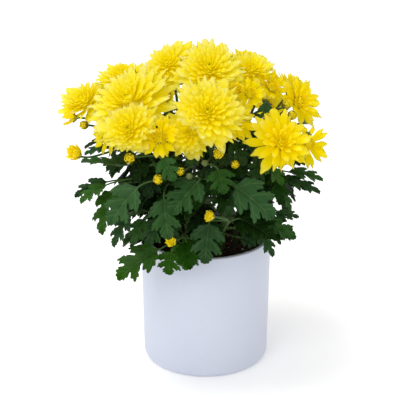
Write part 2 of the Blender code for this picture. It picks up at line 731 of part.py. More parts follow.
def mesh_object(name, solid, material, collection=None, seat=Matrix()):
    """A solid as a triangulated object with its faces pointing out and its own origin at seat."""
    mesh = bpy.data.meshes.new(name)
    to_seat = seat.inverted()
    mesh.from_pydata([to_seat @ p for p in solid.points], [], solid.faces)
    shape = bmesh.new()
    shape.from_mesh(mesh)
    bmesh.ops.triangulate(shape, faces=shape.faces)
    bmesh.ops.recalc_face_normals(shape, faces=shape.faces)
    shape.to_mesh(mesh)
    shape.free()
    mesh.materials.append(material)
    obj = bpy.data.objects.new(name, mesh)
    obj.matrix_world = seat
    (collection or bpy.context.scene.collection).objects.link(obj)
    return obj


def fused(name, solids, material, seat):
    """One object from solids that grow into each other."""
    obj = mesh_object(name, solids[0], material, seat=seat)
    if len(solids) > 1:
        pieces = bpy.data.collections.new(name + "_pieces")
        bpy.context.scene.collection.children.link(pieces)
        for i, solid in enumerate(solids[1:]):
            mesh_object(f"{name}_piece_{i}", solid, material, pieces)
        join_and_remove(obj, pieces, "UNION")
    return obj


def join_and_remove(obj, pieces, operation):
    """Applies one Boolean with a collection, then removes the collection's objects."""
    modifier = obj.modifiers.new("join", "BOOLEAN")
    modifier.operation = operation
    modifier.operand_type = "COLLECTION"
    modifier.collection = pieces
    modifier.solver = "MANIFOLD"
    bpy.context.view_layer.update()
    graph = bpy.context.evaluated_depsgraph_get()
    mesh = bpy.data.meshes.new_from_object(obj.evaluated_get(graph))
    obj.modifiers.clear()
    obj.data = mesh
    plain_triangles(mesh)
    for piece in list(pieces.objects):
        bpy.data.objects.remove(piece)
    bpy.data.collections.remove(pieces)


def connected_groups(shape):
    """A mesh's vertices in groups that hang together, the largest group first."""
    waiting = set(shape.verts)
    groups = []
    while waiting:
        group, edge = set(), [waiting.pop()]
        while edge:
            vert = edge.pop()
            group.add(vert)
            near = {link.other_vert(vert) for link in vert.link_edges} & waiting
            waiting -= near
            edge += near
        groups.append(group)
    return sorted(groups, key=len, reverse=True)


def plain_triangles(mesh):
    """Merges the slivers that a Boolean leaves in flat faces, and drops its loose scraps."""
    shape = bmesh.new()
    shape.from_mesh(mesh)
    bmesh.ops.remove_doubles(shape, verts=shape.verts, dist=WELD)
    bmesh.ops.dissolve_limit(shape, angle_limit=FLAT_ANGLE, verts=shape.verts, edges=shape.edges)
    bmesh.ops.triangulate(shape, faces=shape.faces)
    scraps = connected_groups(shape)[1:]
    bmesh.ops.delete(shape, geom=[vert for group in scraps for vert in group], context="VERTS")
    shape.to_mesh(mesh)
    shape.free()


def soil_object(material):
    """The soil with a plain hole for each cutting's stem."""
    soil = mesh_object("soil", soil_solid(), material)
    holes = bpy.data.collections.new("stem_holes")
    bpy.context.scene.collection.children.link(holes)
    for name in CUTTINGS:
        foot = cutting_foot(name)
        low = foot + Vector((0, 0, soil_level() - CUTTING_DEPTH - TOUCH_GAP))
        high = foot + Vector((0, 0, soil_level() + 20 * MM))
        hole = tube([low, high], [STEM_RADIUS + 2 * TOUCH_GAP] * 2, 6)
        mesh_object("hole_" + name, hole, material, holes)
    join_and_remove(soil, holes, "DIFFERENCE")


def grow_stems(bed):
    """Every cutting's stem, shoots and side stalks, with the lines that the shoots and the stalks follow."""
    solids = {name: [tube(stem_line(name), [STEM_RADIUS] * 3 + [STEM_RADIUS * 0.85], 6)] for name in CUTTINGS}
    lines, side_lines = [], []
    for shoot in SHOOTS:
        line = shoot_line(shoot)
        lines.append((shoot.cutting, line))
        flower = FLOWERS[shoot.terminal]
        short = flower.diameter < 20
        low = SHOOT_RADIUS * (0.8 if short else 1)
        parts = [stalk_tube(line, low, STALK_RADIUS, flower, 4)]
        for name, share in shoot.side_stalks:
            flower = FLOWERS.get(name) or GREEN_BUDS[name]
            side = side_line(line, share, flower)
            parts.append(stalk_tube(side, STALK_RADIUS, STALK_RADIUS * 0.85, flower, 3))
            side_lines.append((shoot.cutting, side))
            if name in GREEN_BUDS:
                sunk = flower_seat(flower) @ Matrix.Translation((0, 0, -TOUCH_GAP * 3))
                parts.append(moved(closed_heart(flower), sunk))
        solids[shoot.cutting] += parts
    for name, parts in solids.items():
        for part in parts:
            bed.add(stem_node(name), part)
    return solids, lines, side_lines


def grow_flowers(bed):
    """Every flower as a solid. All the hearts come first, so that petals keep clear of them."""
    rng = random.Random(PETAL_SEED)
    for name, flower in FLOWERS.items():
        bed.add(name, moved(closed_heart(flower), flower_seat(flower)))
    return {name: flower_head(name, flower, bed, rng) for name, flower in FLOWERS.items()}


def grow_leaves(bed, solids, lines, side_lines):
    """The leaves that show most, then those that follow the rule, each laid clear of what is there."""
    holds = [(cutting, thinned(line, 25)[2:18]) for cutting, line in lines]
    holds += [(cutting, thinned(line, 13)[2:10]) for cutting, line in side_lines]
    holds += [(name, thinned(stem_line(name), 16)[6:]) for name in CUTTINGS]
    for shown in SHOWN_LEAVES:
        base, tip = Vector(shown.base) * MM, Vector(shown.tip) * MM
        cutting, root = hold_for(holds, base, tip)
        add_leaf(bed, solids, cutting, root, base, tip, shown.width, shown.roll)
    for cutting, root, base, tip, width, roll in rule_leaves(lines):
        add_leaf(bed, solids, cutting, root, base, tip, width, roll)


def add_leaf(bed, solids, cutting, root, base, tip, width, roll):
    """Adds a leaf to its cutting if there is a clear way to lay it."""
    found = place_leaf(bed, stem_node(cutting), root, base, tip, width, roll)
    if found is not None:
        bed.add(stem_node(cutting), found)
        solids[cutting].append(found)


def main():
    for obj in list(bpy.data.objects):
        bpy.data.objects.remove(obj)
    materials = {name: new_material(name) for name in MATERIALS}
    bed = Bed()
    pot = pot_solid()
    bed.add("pot", pot)
    bed.add("soil", soil_solid())
    mesh_object("pot", pot, materials["glazed_pot"])
    soil_object(materials["soil"])
    solids, lines, side_lines = grow_stems(bed)
    tie = tie_solid([line for _, line in lines + side_lines])
    bed.add("tie", tie)
    mesh_object("tie", tie, materials["tie_green"])
    for name, head in grow_flowers(bed).items():
        node = name if name.startswith("bud") else "bloom_" + name
        mesh_object(node, head, materials["petal_yellow"], seat=flower_seat(FLOWERS[name]))
    grow_leaves(bed, solids, lines, side_lines)
    for name, parts in solids.items():
        fused(stem_node(name), parts, materials["leaf_green"], Matrix.Translation(cutting_foot(name)))
    finish_objects()


def finish_objects():
    """Rounds the shading where faces meet at a low angle, and hangs every piece on one empty."""
    whole = bpy.data.objects.new("pot_chrysanthemum", None)
    pieces = list(bpy.context.scene.collection.objects)
    bpy.context.scene.collection.objects.link(whole)
    for obj in pieces:
        obj.parent = whole
        obj.data.shade_smooth()
        obj.data.set_sharp_from_angle(angle=SHARP_ANGLE)


main()
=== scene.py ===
"""Pot chrysanthemum: fine petals, leaves, stalks, soil and glazed pot in place of the plain solids.

Metres, +Z up. The origin is the centre of the pot's underside, and -Y is the side towards the viewer.
Positions in the tables are in millimetres, angles in degrees. An azimuth turns from +X towards +Y.
"""

import json
import math
import random
from collections import namedtuple
from itertools import islice

import bmesh
import bpy
import numpy as np
from mathutils import Matrix, Vector
from mathutils.bvhtree import BVHTree
from mathutils.geometry import convex_hull_2d, delaunay_2d_cdt

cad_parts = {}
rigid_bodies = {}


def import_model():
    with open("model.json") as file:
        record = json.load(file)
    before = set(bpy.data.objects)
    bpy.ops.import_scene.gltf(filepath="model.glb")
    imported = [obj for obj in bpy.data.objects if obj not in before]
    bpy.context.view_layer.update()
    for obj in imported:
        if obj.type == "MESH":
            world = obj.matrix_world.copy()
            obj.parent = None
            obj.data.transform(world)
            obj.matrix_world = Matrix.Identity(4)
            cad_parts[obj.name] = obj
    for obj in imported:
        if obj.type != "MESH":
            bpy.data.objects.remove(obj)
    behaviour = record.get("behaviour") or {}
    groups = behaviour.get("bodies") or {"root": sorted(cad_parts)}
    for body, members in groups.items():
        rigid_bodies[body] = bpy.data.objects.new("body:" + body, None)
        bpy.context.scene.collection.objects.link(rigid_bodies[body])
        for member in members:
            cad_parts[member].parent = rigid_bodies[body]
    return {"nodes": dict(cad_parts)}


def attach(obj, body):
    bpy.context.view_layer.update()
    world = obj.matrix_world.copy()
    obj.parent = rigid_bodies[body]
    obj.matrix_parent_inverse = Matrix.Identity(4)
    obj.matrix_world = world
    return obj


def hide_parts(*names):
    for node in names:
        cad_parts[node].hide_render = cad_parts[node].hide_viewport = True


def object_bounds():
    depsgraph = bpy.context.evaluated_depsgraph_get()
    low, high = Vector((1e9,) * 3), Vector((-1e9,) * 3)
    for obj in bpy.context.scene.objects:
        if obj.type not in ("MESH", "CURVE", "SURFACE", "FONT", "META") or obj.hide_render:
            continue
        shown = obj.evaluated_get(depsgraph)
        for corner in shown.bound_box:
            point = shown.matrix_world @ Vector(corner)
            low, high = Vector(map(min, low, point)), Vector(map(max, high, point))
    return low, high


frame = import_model()
CAD_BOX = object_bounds()

MM = 0.001
TOUCH_GAP = 0.3 * MM
CLEAR_GAP = 0.5 * MM

# The pot and its soil.
POT_DIAMETER = 135 * MM
POT_BASE_DIAMETER = 131 * MM
POT_HEIGHT = 136 * MM
POT_WALL = 4.5 * MM
POT_FLOOR = 6 * MM
POT_BASE_ROUND = 6 * MM
POT_LIP_ROUND = 1.6 * MM
POT_SIDES = 160
SOIL_DROP = 13 * MM
SOIL_MOUND = 4 * MM
SOIL_SIDES = 96
SOIL_SEED = 5
CRUMBS = 420

# The cuttings stand in holes in the soil, on a circle round the pot's axis.
CUTTING_CIRCLE = 30 * MM
CUTTING_DEPTH = 26 * MM
FORK_HEIGHT = 172 * MM
SHOOT_SPACING = 9 * MM
STEM_RADIUS = 2.9 * MM
STEM_LEAN = 6 * MM
STEM_RINGS = 22
SHOOT_RADIUS = 2.1 * MM
STALK_RADIUS = 1.2 * MM
CUTTINGS = {
    "front_left": -125,
    "front_right": -58,
    "right": -4,
    "back_right": 55,
    "back_left": 116,
    "left": 178,
}

# The blades.
LEAF_THICKNESS = 0.8 * MM
PETIOLE_WIDTH = 2.2 * MM
PETIOLE_THICKNESS = 1.7 * MM
LEAST_PETIOLE = 11 * MM

# The tie is a thin cord drawn round the outer shoots, lower on the right.
TIE_RADIUS = 0.6 * MM
TIE_CENTRE = Vector((-8, 0, 206)) * MM
TIE_TILT = 18
TIE_SIDES = 10
TIE_STEP = 4 * MM

# What sets the kinds of flower apart. In radii of the flower: how high its eye is above its foot, and how
# wide and how long its green cup is. In degrees: how steeply the cup's scales rise. Then the rows of scales.
Kind = namedtuple("Kind", "eye_height cup_radius bract_reach bract_rise bract_rows")
KINDS = {
    "full": Kind(0.44, 0.16, 0.17, 34, 2),
    "half": Kind(0.42, 0.18, 0.22, 40, 3),
    "opening": Kind(0.80, 0.30, 0.62, 44, 3),
    "bud": Kind(1.10, 0.42, 0.85, 42, 3),
    "green": Kind(1.10, 0.42, 1.15, 44, 3),
}
CUP_MARGIN = 0.4 * MM
BRACT_MARGIN = 1.5 * MM
BRACTS_A_ROW = 9
BRACT_THICKNESS = 0.30 * MM
BRACT_GRID = (5, 5)

# The middle of each flower as one looks into it, the azimuth and the rise that it faces, its diameter and
# its kind.
BLOOMS = {
    "front_centre": ((1, -97, 299), -88, 40, 70, "full"),
    "front_low": ((-17, -76, 271), -105, 30, 50, "full"),
    "front_small": ((-44, -82, 269), -92, 28, 36, "half"),
    "front_right_upper": ((43, -45, 301), -80, 28, 30, "half"),
    "front_right_back": ((30, -66, 282), -50, 32, 44, "half"),
    "right_front": ((73, -77, 265), -78, 36, 62, "full"),
    "right_low": ((106, -32, 245), -12, 14, 34, "half"),
    "right_high": ((98, 0, 281), -38, 32, 50, "full"),
    "right_mid": ((68, -2, 296), -45, 36, 36, "half"),
    "top_right": ((46, 4, 311), -62, 60, 46, "full"),
    "top_centre": ((3, -36, 323), -86, 54, 64, "full"),
    "top_small": ((-8, 12, 323), -90, 66, 34, "half"),
    "top_left": ((-38, -2, 318), -112, 54, 44, "full"),
    "top_left_back": ((-26, 38, 321), 105, 74, 46, "full"),
    "left_back": ((-86, 8, 304), 160, 66, 52, "full"),
    "left": ((-123, -2, 281), 206, 48, 52, "full"),
    "left_side": ((-135, -16, 266), 190, 4, 28, "half"),
    "left_upper": ((-76, -46, 294), -112, 54, 72, "full"),
    "left_lower": ((-73, -78, 275), -104, 36, 60, "full"),
    "left_under": ((-99, -48, 262), -148, 14, 42, "half"),
    "back_right_top": ((46, 62, 304), 55, 60, 62, "full"),
    "back_right": ((94, 52, 279), 28, 40, 56, "full"),
    "back_right_low": ((70, 100, 250), 54, 22, 48, "full"),
    "back_top": ((-24, 84, 300), 108, 54, 62, "full"),
    "back_low": ((14, 112, 266), 84, 30, 60, "full"),
    "back_left_low": ((-58, 110, 256), 118, 26, 54, "full"),
    "back_left": ((-90, 66, 281), 146, 44, 60, "full"),
    "bud_left_open": ((-132, -24, 232), 215, 34, 20, "opening"),
    "bud_top_left": ((-39, -34, 295), -95, 30, 20, "opening"),
    "bud_top_right": ((29, -52, 306), -80, 26, 20, "opening"),
    "bud_left_front": ((-73, -84, 248), -100, 20, 13, "bud"),
    "bud_front_left": ((-46, -96, 231), -110, 15, 12, "bud"),
    "bud_front": ((-25, -93, 238), -120, 10, 10, "bud"),
    "bud_under_centre": ((12, -88, 254), -85, 14, 13, "bud"),
    "bud_front_right": ((28, -88, 243), -80, 12, 10, "bud"),
    "bud_low_front": ((2, -101, 196), -150, 18, 15, "opening"),
    "bud_low_left": ((-34, -97, 168), -120, 14, 15, "opening"),
    "bud_right_a": ((80, -17, 281), -40, 40, 11, "bud"),
    "bud_right_b": ((86, -24, 272), -60, 24, 12, "bud"),
    "bud_right_c": ((60, -44, 276), -85, 22, 12, "bud"),
    "bud_right_low": ((72, -74, 240), -85, 4, 13, "bud"),
    "bud_left_side": ((-122, -24, 261), -130, 16, 11, "bud"),
    "bud_back_right": ((108, 62, 240), 30, 20, 13, "bud"),
    "bud_back_left": ((-104, 84, 244), 140, 22, 13, "bud"),
}
GREEN_BUDS = {
    "green_front": ((-16, -92, 233), -100, 30, 7, "green"),
    "green_centre": ((-1, -88, 245), -90, 34, 7, "green"),
    "green_right": ((101, -38, 256), -40, 30, 8, "green"),
}
# Blooms with fewer, broader petals round a small tight heart.
OPEN_BLOOMS = ("right_front", "right_high")
# Flowers whose petals are laid before the others', because they lie in front of larger neighbours.
FIRST_GROWN = ("front_low", "front_small", "left_lower", "front_right_upper", "bud_top_right")
# Where a flower's petals differ: towards which angle as the viewer sees it, anticlockwise from the right,
# over which spread, their share of the usual length, and how many degrees they are raised.
REACHES = {
    "left": ((180, 50, 1.30, 28), (110, 40, 1.20, 8), (225, 35, 1.1, 16)),
    "left_side": ((0, 360, 1.30, 56), (270, 60, 0.85, 24)),
    "bud_left_open": ((0, 360, 1.28, -4),),
    "left_upper": ((180, 40, 1.12, 5), (62, 38, 1.22, 8), (5, 45, 1.30, 4)),
    "left_lower": ((180, 50, 1.25, 4), (225, 30, 0.88, 4), (0, 45, 1.18, 4), (270, 58, 0.54, 8)),
    "left_under": ((180, 60, 1.20, 8), (228, 35, 1.12, 0)),
    "left_back": ((180, 70, 1.15, 6), (20, 50, 1.35, 0)),
    "back_left": ((180, 60, 1.1, 0),),
    "top_left": ((52, 42, 1.38, 8), (135, 50, 1.20, 5), (0, 50, 1.25, 0), (245, 60, 1.45, 0)),
    "top_left_back": ((90, 90, 1.15, 0),),
    "top_centre": ((80, 60, 1.16, 8), (225, 40, 1.15, 0)),
    "top_right": ((0, 60, 1.25, 0), (90, 60, 1.15, 0), (290, 60, 1.30, 0), (180, 50, 1.15, 0)),
    "back_right_top": ((90, 90, 0.85, 0),),
    "right_mid": ((0, 180, 1.12, 0), (265, 50, 0.70, 6)),
    "right_high": ((95, 40, 1.10, 10), (330, 60, 1.28, 4), (225, 45, 0.45, 30)),
    "back_right": ((90, 100, 0.70, 0), (0, 50, 0.85, 0)),
    "right_low": ((0, 360, 1.45, 20),),
    "right_front": (
        (90, 25, 1.08, 0), (48, 26, 0.84, 0), (232, 20, 1.32, 0), (280, 40, 0.76, 4), (325, 22, 1.10, 0),
    ),
    "front_right_back": ((340, 60, 1.15, 0), (275, 40, 0.70, 4)),
    "front_small": ((270, 60, 1.15, 0), (80, 60, 1.2, 0)),
    "front_low": ((270, 50, 0.92, 0), (160, 40, 1.1, 0)),
    "front_centre": ((90, 50, 1.08, 4), (229, 50, 0.30, 0), (280, 28, 1.16, 0)),
}
# Flowers that turn a little away from the way their stalk ends, to this azimuth and rise.
TURNED = {"right_low": (-50, 8), "right_high": (-46, 24), "left_back": (-110, 80)}
PICTURE_RIGHT = (1.0, 0.0, 0.0)
PICTURE_UP = (0.0, 0.371, 0.928)

# Each shoot ends in its first flower. The others leave it on side stalks, at that share of its length.
Shoot = namedtuple("Shoot", "cutting terminal side_stalks")
SHOOTS = (
    Shoot("front_left", "left_lower", (("left_under", 0.55), ("bud_left_front", 0.62))),
    Shoot("front_left", "front_small", (("bud_front_left", 0.5), ("bud_top_left", 0.6))),
    Shoot("front_left", "front_low", (("bud_front", 0.5), ("green_front", 0.42))),
    Shoot("front_left", "bud_low_left", ()),
    Shoot("front_right", "front_centre", (("bud_under_centre", 0.62), ("green_centre", 0.5))),
    Shoot("front_right", "top_centre", (("bud_top_right", 0.7),)),
    Shoot("front_right", "front_right_back", (("bud_front_right", 0.5), ("front_right_upper", 0.6))),
    Shoot("front_right", "bud_low_front", ()),
    Shoot("right", "right_front", (("bud_right_low", 0.6), ("bud_right_c", 0.52))),
    Shoot("right", "right_high", (("bud_right_b", 0.66), ("right_low", 0.45), ("green_right", 0.55))),
    Shoot("right", "right_mid", (("bud_right_a", 0.7),)),
    Shoot("back_right", "top_right", ()),
    Shoot("back_right", "back_right", (("bud_back_right", 0.6),)),
    Shoot("back_right", "back_right_top", (("back_right_low", 0.5),)),
    Shoot("back_left", "back_top", (("back_low", 0.5),)),
    Shoot("back_left", "back_left_low", (("bud_back_left", 0.5),)),
    Shoot("back_left", "top_left_back", (("top_small", 0.62),)),
    Shoot("left", "left", (("left_side", 0.7), ("bud_left_side", 0.6), ("bud_left_open", 0.48))),
    Shoot("left", "left_back", (("back_left", 0.55),)),
    Shoot("left", "left_upper", ()),
    Shoot("left", "top_left", ()),
)


# The leaves that show most: where the blade starts, where its tip is, its width over its length, its roll and
# how old it is, from 0, the darkest, to 1. A leaf of age 0 is also made darker, as painted shade under the
# blooms.
SHOWN_LEAVES = (
    ((-64, -92, 222), (-91, -106, 188), 0.92, 0, 0.15),
    ((-40, -92, 211), (-35, -108, 174), 0.80, 0, 0.3),
    ((-6, -90, 228), (-33, -112, 201), 0.86, 8, 0.2),
    ((26, -88, 222), (64, -97, 191), 0.88, 0, 0.1),
    ((11, -92, 240), (17, -106, 220), 1.10, 0, 0.5),
    ((3, -80, 180), (-1, -95, 143), 0.84, 0, 0.1),
    ((50, -58, 162), (66, -70, 139), 0.78, -10, 0.1),
    ((56, -42, 166), (90, -50, 150), 0.50, 40, 0.4),
    ((74, -40, 211), (113, -46, 197), 0.42, 10, 0.1),
    ((82, -34, 221), (118, -38, 220), 0.44, 15, 0.3),
    ((74, -50, 211), (87, -58, 190), 0.62, 0, 0.5),
    ((68, -30, 169), (94, -34, 167), 0.42, 60, 0.2),
    ((-97, -64, 213), (-121, -76, 198), 0.80, 0, 0.7),
    ((-96, -52, 212), (-128, -62, 199), 0.50, -30, 0.1),
    ((-90, -58, 206), (-101, -74, 164), 0.66, -10, 0.8),
    ((-46, -76, 150), (-86, -92, 124), 0.78, 0, 1.0),
    ((-33, -80, 150), (-36, -88, 128), 1.20, 0, 0.9),
    ((-74, -58, 178), (-90, -74, 151), 0.70, 0, 0.1),
    ((-59, -70, 180), (-70, -84, 158), 0.80, 0, 0.5),
    ((-82, -54, 230), (-121, -62, 236), 0.60, 20, 0.2),
    ((-94, -30, 240), (-120, -34, 233), 0.70, 0, 0.2),
    ((-42, -88, 249), (-29, -101, 231), 0.85, 0, 0.4),
    ((-12, -78, 160), (-20, -90, 134), 0.90, 0, 0.8),
    ((79, -34, 213), (103, -38, 207), 0.50, 30, 0.0),
    ((55, -50, 234), (76, -66, 217), 0.80, 0, 0.8),
    ((26, -50, 205), (22, -60, 179), 0.90, 0, 0.4),
    ((38, -30, 196), (40, -42, 167), 0.90, 0, 0.2),
    ((16, -52, 218), (30, -58, 190), 0.90, 0, 0.4),
    ((25, -40, 249), (37, -52, 228), 0.95, 0, 0.2),
    ((46, -30, 240), (55, -40, 216), 0.95, 0, 0.3),
    ((33, -28, 262), (45, -38, 240), 0.95, 0, 0.3),
    ((58, -20, 282), (55, -32, 262), 0.90, 0, 0.2),
    ((-45, -50, 171), (-56, -64, 146), 0.95, 0, 0.2),
    ((-32, -46, 174), (-38, -58, 148), 0.90, 0, 0.1),
    ((-24, -64, 156), (-31, -76, 136), 0.90, 0, 1.0),
    ((-18, -62, 158), (-11, -74, 138), 0.85, 0, 1.0),
    ((34, -44, 149), (50, -47, 141), 0.95, 0, 0.2),
    ((14, -46, 152), (4, -52, 140), 0.95, 0, 0.6),
    ((34, -30, 262), (24, -40, 244), 0.90, 0, 0.3),
    ((-28, -24, 237), (-32, -34, 218), 0.95, 0, 0.0),
    ((2, -22, 239), (0, -34, 220), 0.95, 0, 0.0),
    ((20, -14, 244), (18, -26, 225), 0.95, 0, 0.0),
    ((40, -14, 240), (42, -28, 222), 0.95, 0, 0.0),
    ((76, -20, 234), (73, -30, 218), 0.95, 0, 0.0),
    ((-39, -4, 289), (-42, -14, 271), 0.95, 0, 0.0),
    ((-37, -10, 280), (-38, -26, 262), 0.80, 0, 0.2),
)
# The leaves that follow a rule, in millimetres and in degrees from straight outwards.
LEAF_LENGTH_HIGH = 38 * MM
LEAF_LENGTH_LOW = 56 * MM
LEAF_TURN_HIGH = 40
LEAF_TURN_LOW = 48
LEAF_SEED = 11
# Ways to lay a leaf that isn't clear as it is meant: (turn, dip) about its root, at shares of its length.
LEAF_TURNS = ((0, 12), (12, 0), (-12, 0), (0, -14), (16, 14), (-16, 14), (26, -8), (-26, -8), (0, 28))
LEAF_SHORTENED = (1.0, 0.86, 0.72)
ALL_WAYS = 1 + len(LEAF_TURNS) * len(LEAF_SHORTENED)
FILLER_WAYS = 5
FILLER_TRIES = 3000
FILLER_LEAVES = 110
FILLER_SEED = 29

# Half of a plain leaf's lobed edge: (share of the length, share of the half width), and each point's lift.
LEAF_EDGE = ((0.24, 0.80), (0.44, 1.00), (0.43, 0.42), (0.72, 0.90), (0.68, 0.34), (0.88, 0.40))
LEAF_RIB_SHARES = (0.22, 0.45, 0.70)
LEAF_LOBE_LIFT = (0.02, -0.05, 0.03, -0.05, 0.03, -0.02)
# The same half edge as it really is, with its blunt teeth, and the side veins: from the rib, to the edge.
FINE_EDGE = (
    (0.015, 0.05), (0.05, 0.12), (0.08, 0.24), (0.095, 0.42), (0.11, 0.56), (0.165, 0.66), (0.20, 0.65),
    (0.205, 0.76), (0.255, 0.86), (0.295, 0.85), (0.325, 0.95), (0.40, 1.02), (0.455, 1.00), (0.455, 0.90),
    (0.425, 0.80), (0.465, 0.76), (0.485, 0.66), (0.445, 0.56), (0.415, 0.46), (0.405, 0.37), (0.43, 0.34),
    (0.475, 0.44), (0.50, 0.58), (0.545, 0.66), (0.575, 0.65), (0.585, 0.77), (0.64, 0.84), (0.665, 0.82),
    (0.70, 0.91), (0.75, 0.91), (0.755, 0.80), (0.72, 0.70), (0.765, 0.66), (0.765, 0.56), (0.715, 0.46),
    (0.685, 0.35), (0.70, 0.29), (0.745, 0.33), (0.785, 0.43), (0.83, 0.44), (0.835, 0.36), (0.87, 0.42),
    (0.91, 0.38), (0.90, 0.27), (0.93, 0.27), (0.965, 0.21), (0.965, 0.12), (0.992, 0.06),
)
SIDE_VEINS = (
    ((0.07, 0.0), (0.43, 0.97)), ((0.20, 0.36), (0.24, 0.80)), ((0.27, 0.56), (0.46, 0.70)),
    ((0.36, 0.0), (0.73, 0.88)), ((0.52, 0.38), (0.63, 0.79)), ((0.58, 0.54), (0.75, 0.60)),
    ((0.62, 0.0), (0.80, 0.40)), ((0.74, 0.0), (0.89, 0.34)),
)
LEAF_ASPECT = 0.42
LEAF_GRID = 0.062
LEAF_ARCH = 0.16
LEAF_FOLD = 0.16
# How much thinner the veins that branch off a side vein are, in leaf lengths.
BRANCH_THINNER = 0.0022

# How petals change from a flower's outside, 0, to its middle, 1. Lengths are in radii of the flower.
Key = namedtuple("Key", "inward root_radius root_height rise curl length width channel")
PETAL_KEYS = {
    "full": (
        Key(0.00, 0.20, 0.05, -6, -8, 0.87, 0.300, 0.10),
        Key(0.16, 0.20, 0.09, 6, -3, 0.80, 0.285, 0.14),
        Key(0.36, 0.19, 0.17, 19, 4, 0.69, 0.230, 0.22),
        Key(0.58, 0.16, 0.27, 29, 11, 0.53, 0.180, 0.32),
        Key(0.78, 0.12, 0.38, 37, 26, 0.36, 0.130, 0.44),
        Key(1.00, 0.03, 0.48, 66, 50, 0.17, 0.085, 0.50),
    ),
    "open": (
        Key(0.00, 0.18, 0.04, -4, -8, 0.90, 0.330, 0.12),
        Key(0.22, 0.18, 0.08, 10, -4, 0.80, 0.300, 0.14),
        Key(0.38, 0.17, 0.13, 28, 6, 0.56, 0.205, 0.22),
        Key(0.52, 0.14, 0.18, 42, 22, 0.36, 0.150, 0.40),
        Key(0.72, 0.10, 0.23, 54, 50, 0.24, 0.110, 0.50),
        Key(1.00, 0.03, 0.28, 68, 60, 0.15, 0.080, 0.50),
    ),
    "half": (
        Key(0.00, 0.28, 0.04, 2, -6, 0.80, 0.300, 0.12),
        Key(0.20, 0.28, 0.09, 16, 0, 0.72, 0.280, 0.16),
        Key(0.24, 0.30, 0.12, 50, 46, 0.28, 0.110, 0.50),
        Key(0.60, 0.20, 0.20, 64, 62, 0.23, 0.088, 0.60),
        Key(0.88, 0.09, 0.24, 76, 50, 0.18, 0.072, 0.60),
        Key(1.00, 0.02, 0.25, 86, 20, 0.13, 0.060, 0.60),
    ),
    "opening": (
        Key(0.00, 0.32, 0.02, 36, 56, 1.06, 0.54, 0.35),
        Key(0.40, 0.27, 0.10, 48, 50, 0.96, 0.46, 0.40),
        Key(0.75, 0.16, 0.16, 64, 40, 0.78, 0.34, 0.50),
        Key(1.00, 0.04, 0.20, 80, 24, 0.60, 0.24, 0.50),
    ),
    "bud": (
        Key(0.00, 0.42, 0.02, 34, 96, 1.40, 0.48, 0.45),
        Key(0.35, 0.40, 0.06, 40, 104, 1.54, 0.42, 0.50),
        Key(0.70, 0.34, 0.12, 46, 110, 1.50, 0.34, 0.55),
        Key(1.00, 0.26, 0.20, 54, 100, 1.40, 0.26, 0.60),
    ),
}
# The core of each kind of flower, which its petals hide, in radii of the flower from the axis back to it.
CORES = {
    "full": ((0, 0.01), (0.17, 0.01), (0.25, 0.10), (0.24, 0.28), (0.16, 0.43), (0, 0.51)),
    "open": ((0, 0.01), (0.15, 0.01), (0.19, 0.08), (0.15, 0.20), (0.09, 0.28), (0, 0.31)),
    "half": ((0, 0.01), (0.19, 0.01), (0.32, 0.07), (0.30, 0.14), (0.18, 0.23), (0, 0.27)),
    "opening": ((0, 0.02), (0.28, 0.02), (0.40, 0.24), (0.30, 0.46), (0, 0.50)),
    "bud": ((0, 0.03), (0.40, 0.03), (0.76, 0.40), (0.80, 0.78), (0.58, 1.10), (0.22, 1.20), (0, 0.95)),
    "green": ((0, 0), (0.42, 0), (0.84, 0.42), (0.92, 0.74), (0.74, 1.12), (0.38, 1.36), (0, 1.40)),
}
CORE_SIDES = 16
PETALS_PER_MM = {"full": 1.95, "open": 1.10, "half": 2.1, "opening": 1.8, "bud": 2.6}
# A petal that would cut another flower's is raised by so many degrees, to that share of its length.
PETAL_WAYS = (
    (0, 1.0), (9, 1.0), (-9, 1.0), (18, 0.97), (0, 0.88), (-18, 0.92), (12, 0.86), (26, 0.90), (0, 0.76),
    (20, 0.76), (36, 0.84), (-14, 0.74), (0, 0.64), (28, 0.66), (46, 0.72), (12, 0.54), (36, 0.54), (0, 0.44),
    (30, 0.42), (55, 0.5),
)
WIDTH_SIZE = 35 * MM
LENGTHENED = {"full": 1.09, "open": 1.10, "half": 1.10, "opening": 1.0, "bud": 1.0}
PETAL_THICKNESS = 0.34 * MM
PETAL_GRID = (8, 5)
INNER_PETAL_GRID = (6, 5)
INNER_FROM = 0.55
PETAL_SEED = 3
# What marks the core of a bud for the petals' material, which paints it dark brown as painted shade between
# the bud's petals.
PAINTED_SHADE_MARK = 2.0
# What is added to the place across a petal on its under side, and to the chance of a deeper yellow petal.
UNDERSIDE = 1.5
DEEP = 0.5
GOLDEN_ANGLE = 137.508
# Steps along a petal in which its bend is added up.
BEND_STEPS = 40
# Where a few points on each petal are enough to tell whether it cuts another: along it, and across it.
COARSE_ALONG = (0.12, 0.4, 0.65, 0.85, 1.0)
COARSE_ACROSS = (-1.0, 0.0, 1.0)

# How a stalk swells into its cup: how far back from its end, and how much of the way to the cup's radius.
PLAIN_SWELL = ((1.0, 0.0), (0.0, 1.0))
FINE_SWELL = ((1.0, 0.0), (0.62, 0.22), (0.34, 0.62), (0.12, 0.92), (0.0, 1.0))

# Hairs on each stem, each shoot and each side stalk, and how thick they are at the foot.
STEM_HAIRS = 60
SHOOT_HAIRS = 70
SIDE_HAIRS = 34
HAIR_RADIUS = 0.05 * MM
HAIR_FACES = np.array([(1, 0, 3), (2, 1, 3), (0, 2, 3), (0, 1, 2)])

# The tint, and the place in the pattern, of a mesh whose material reads neither.
PLAIN_TINT = (0.5, 0.5, 0.5)
MIDDLE = (0.5, 0.5)

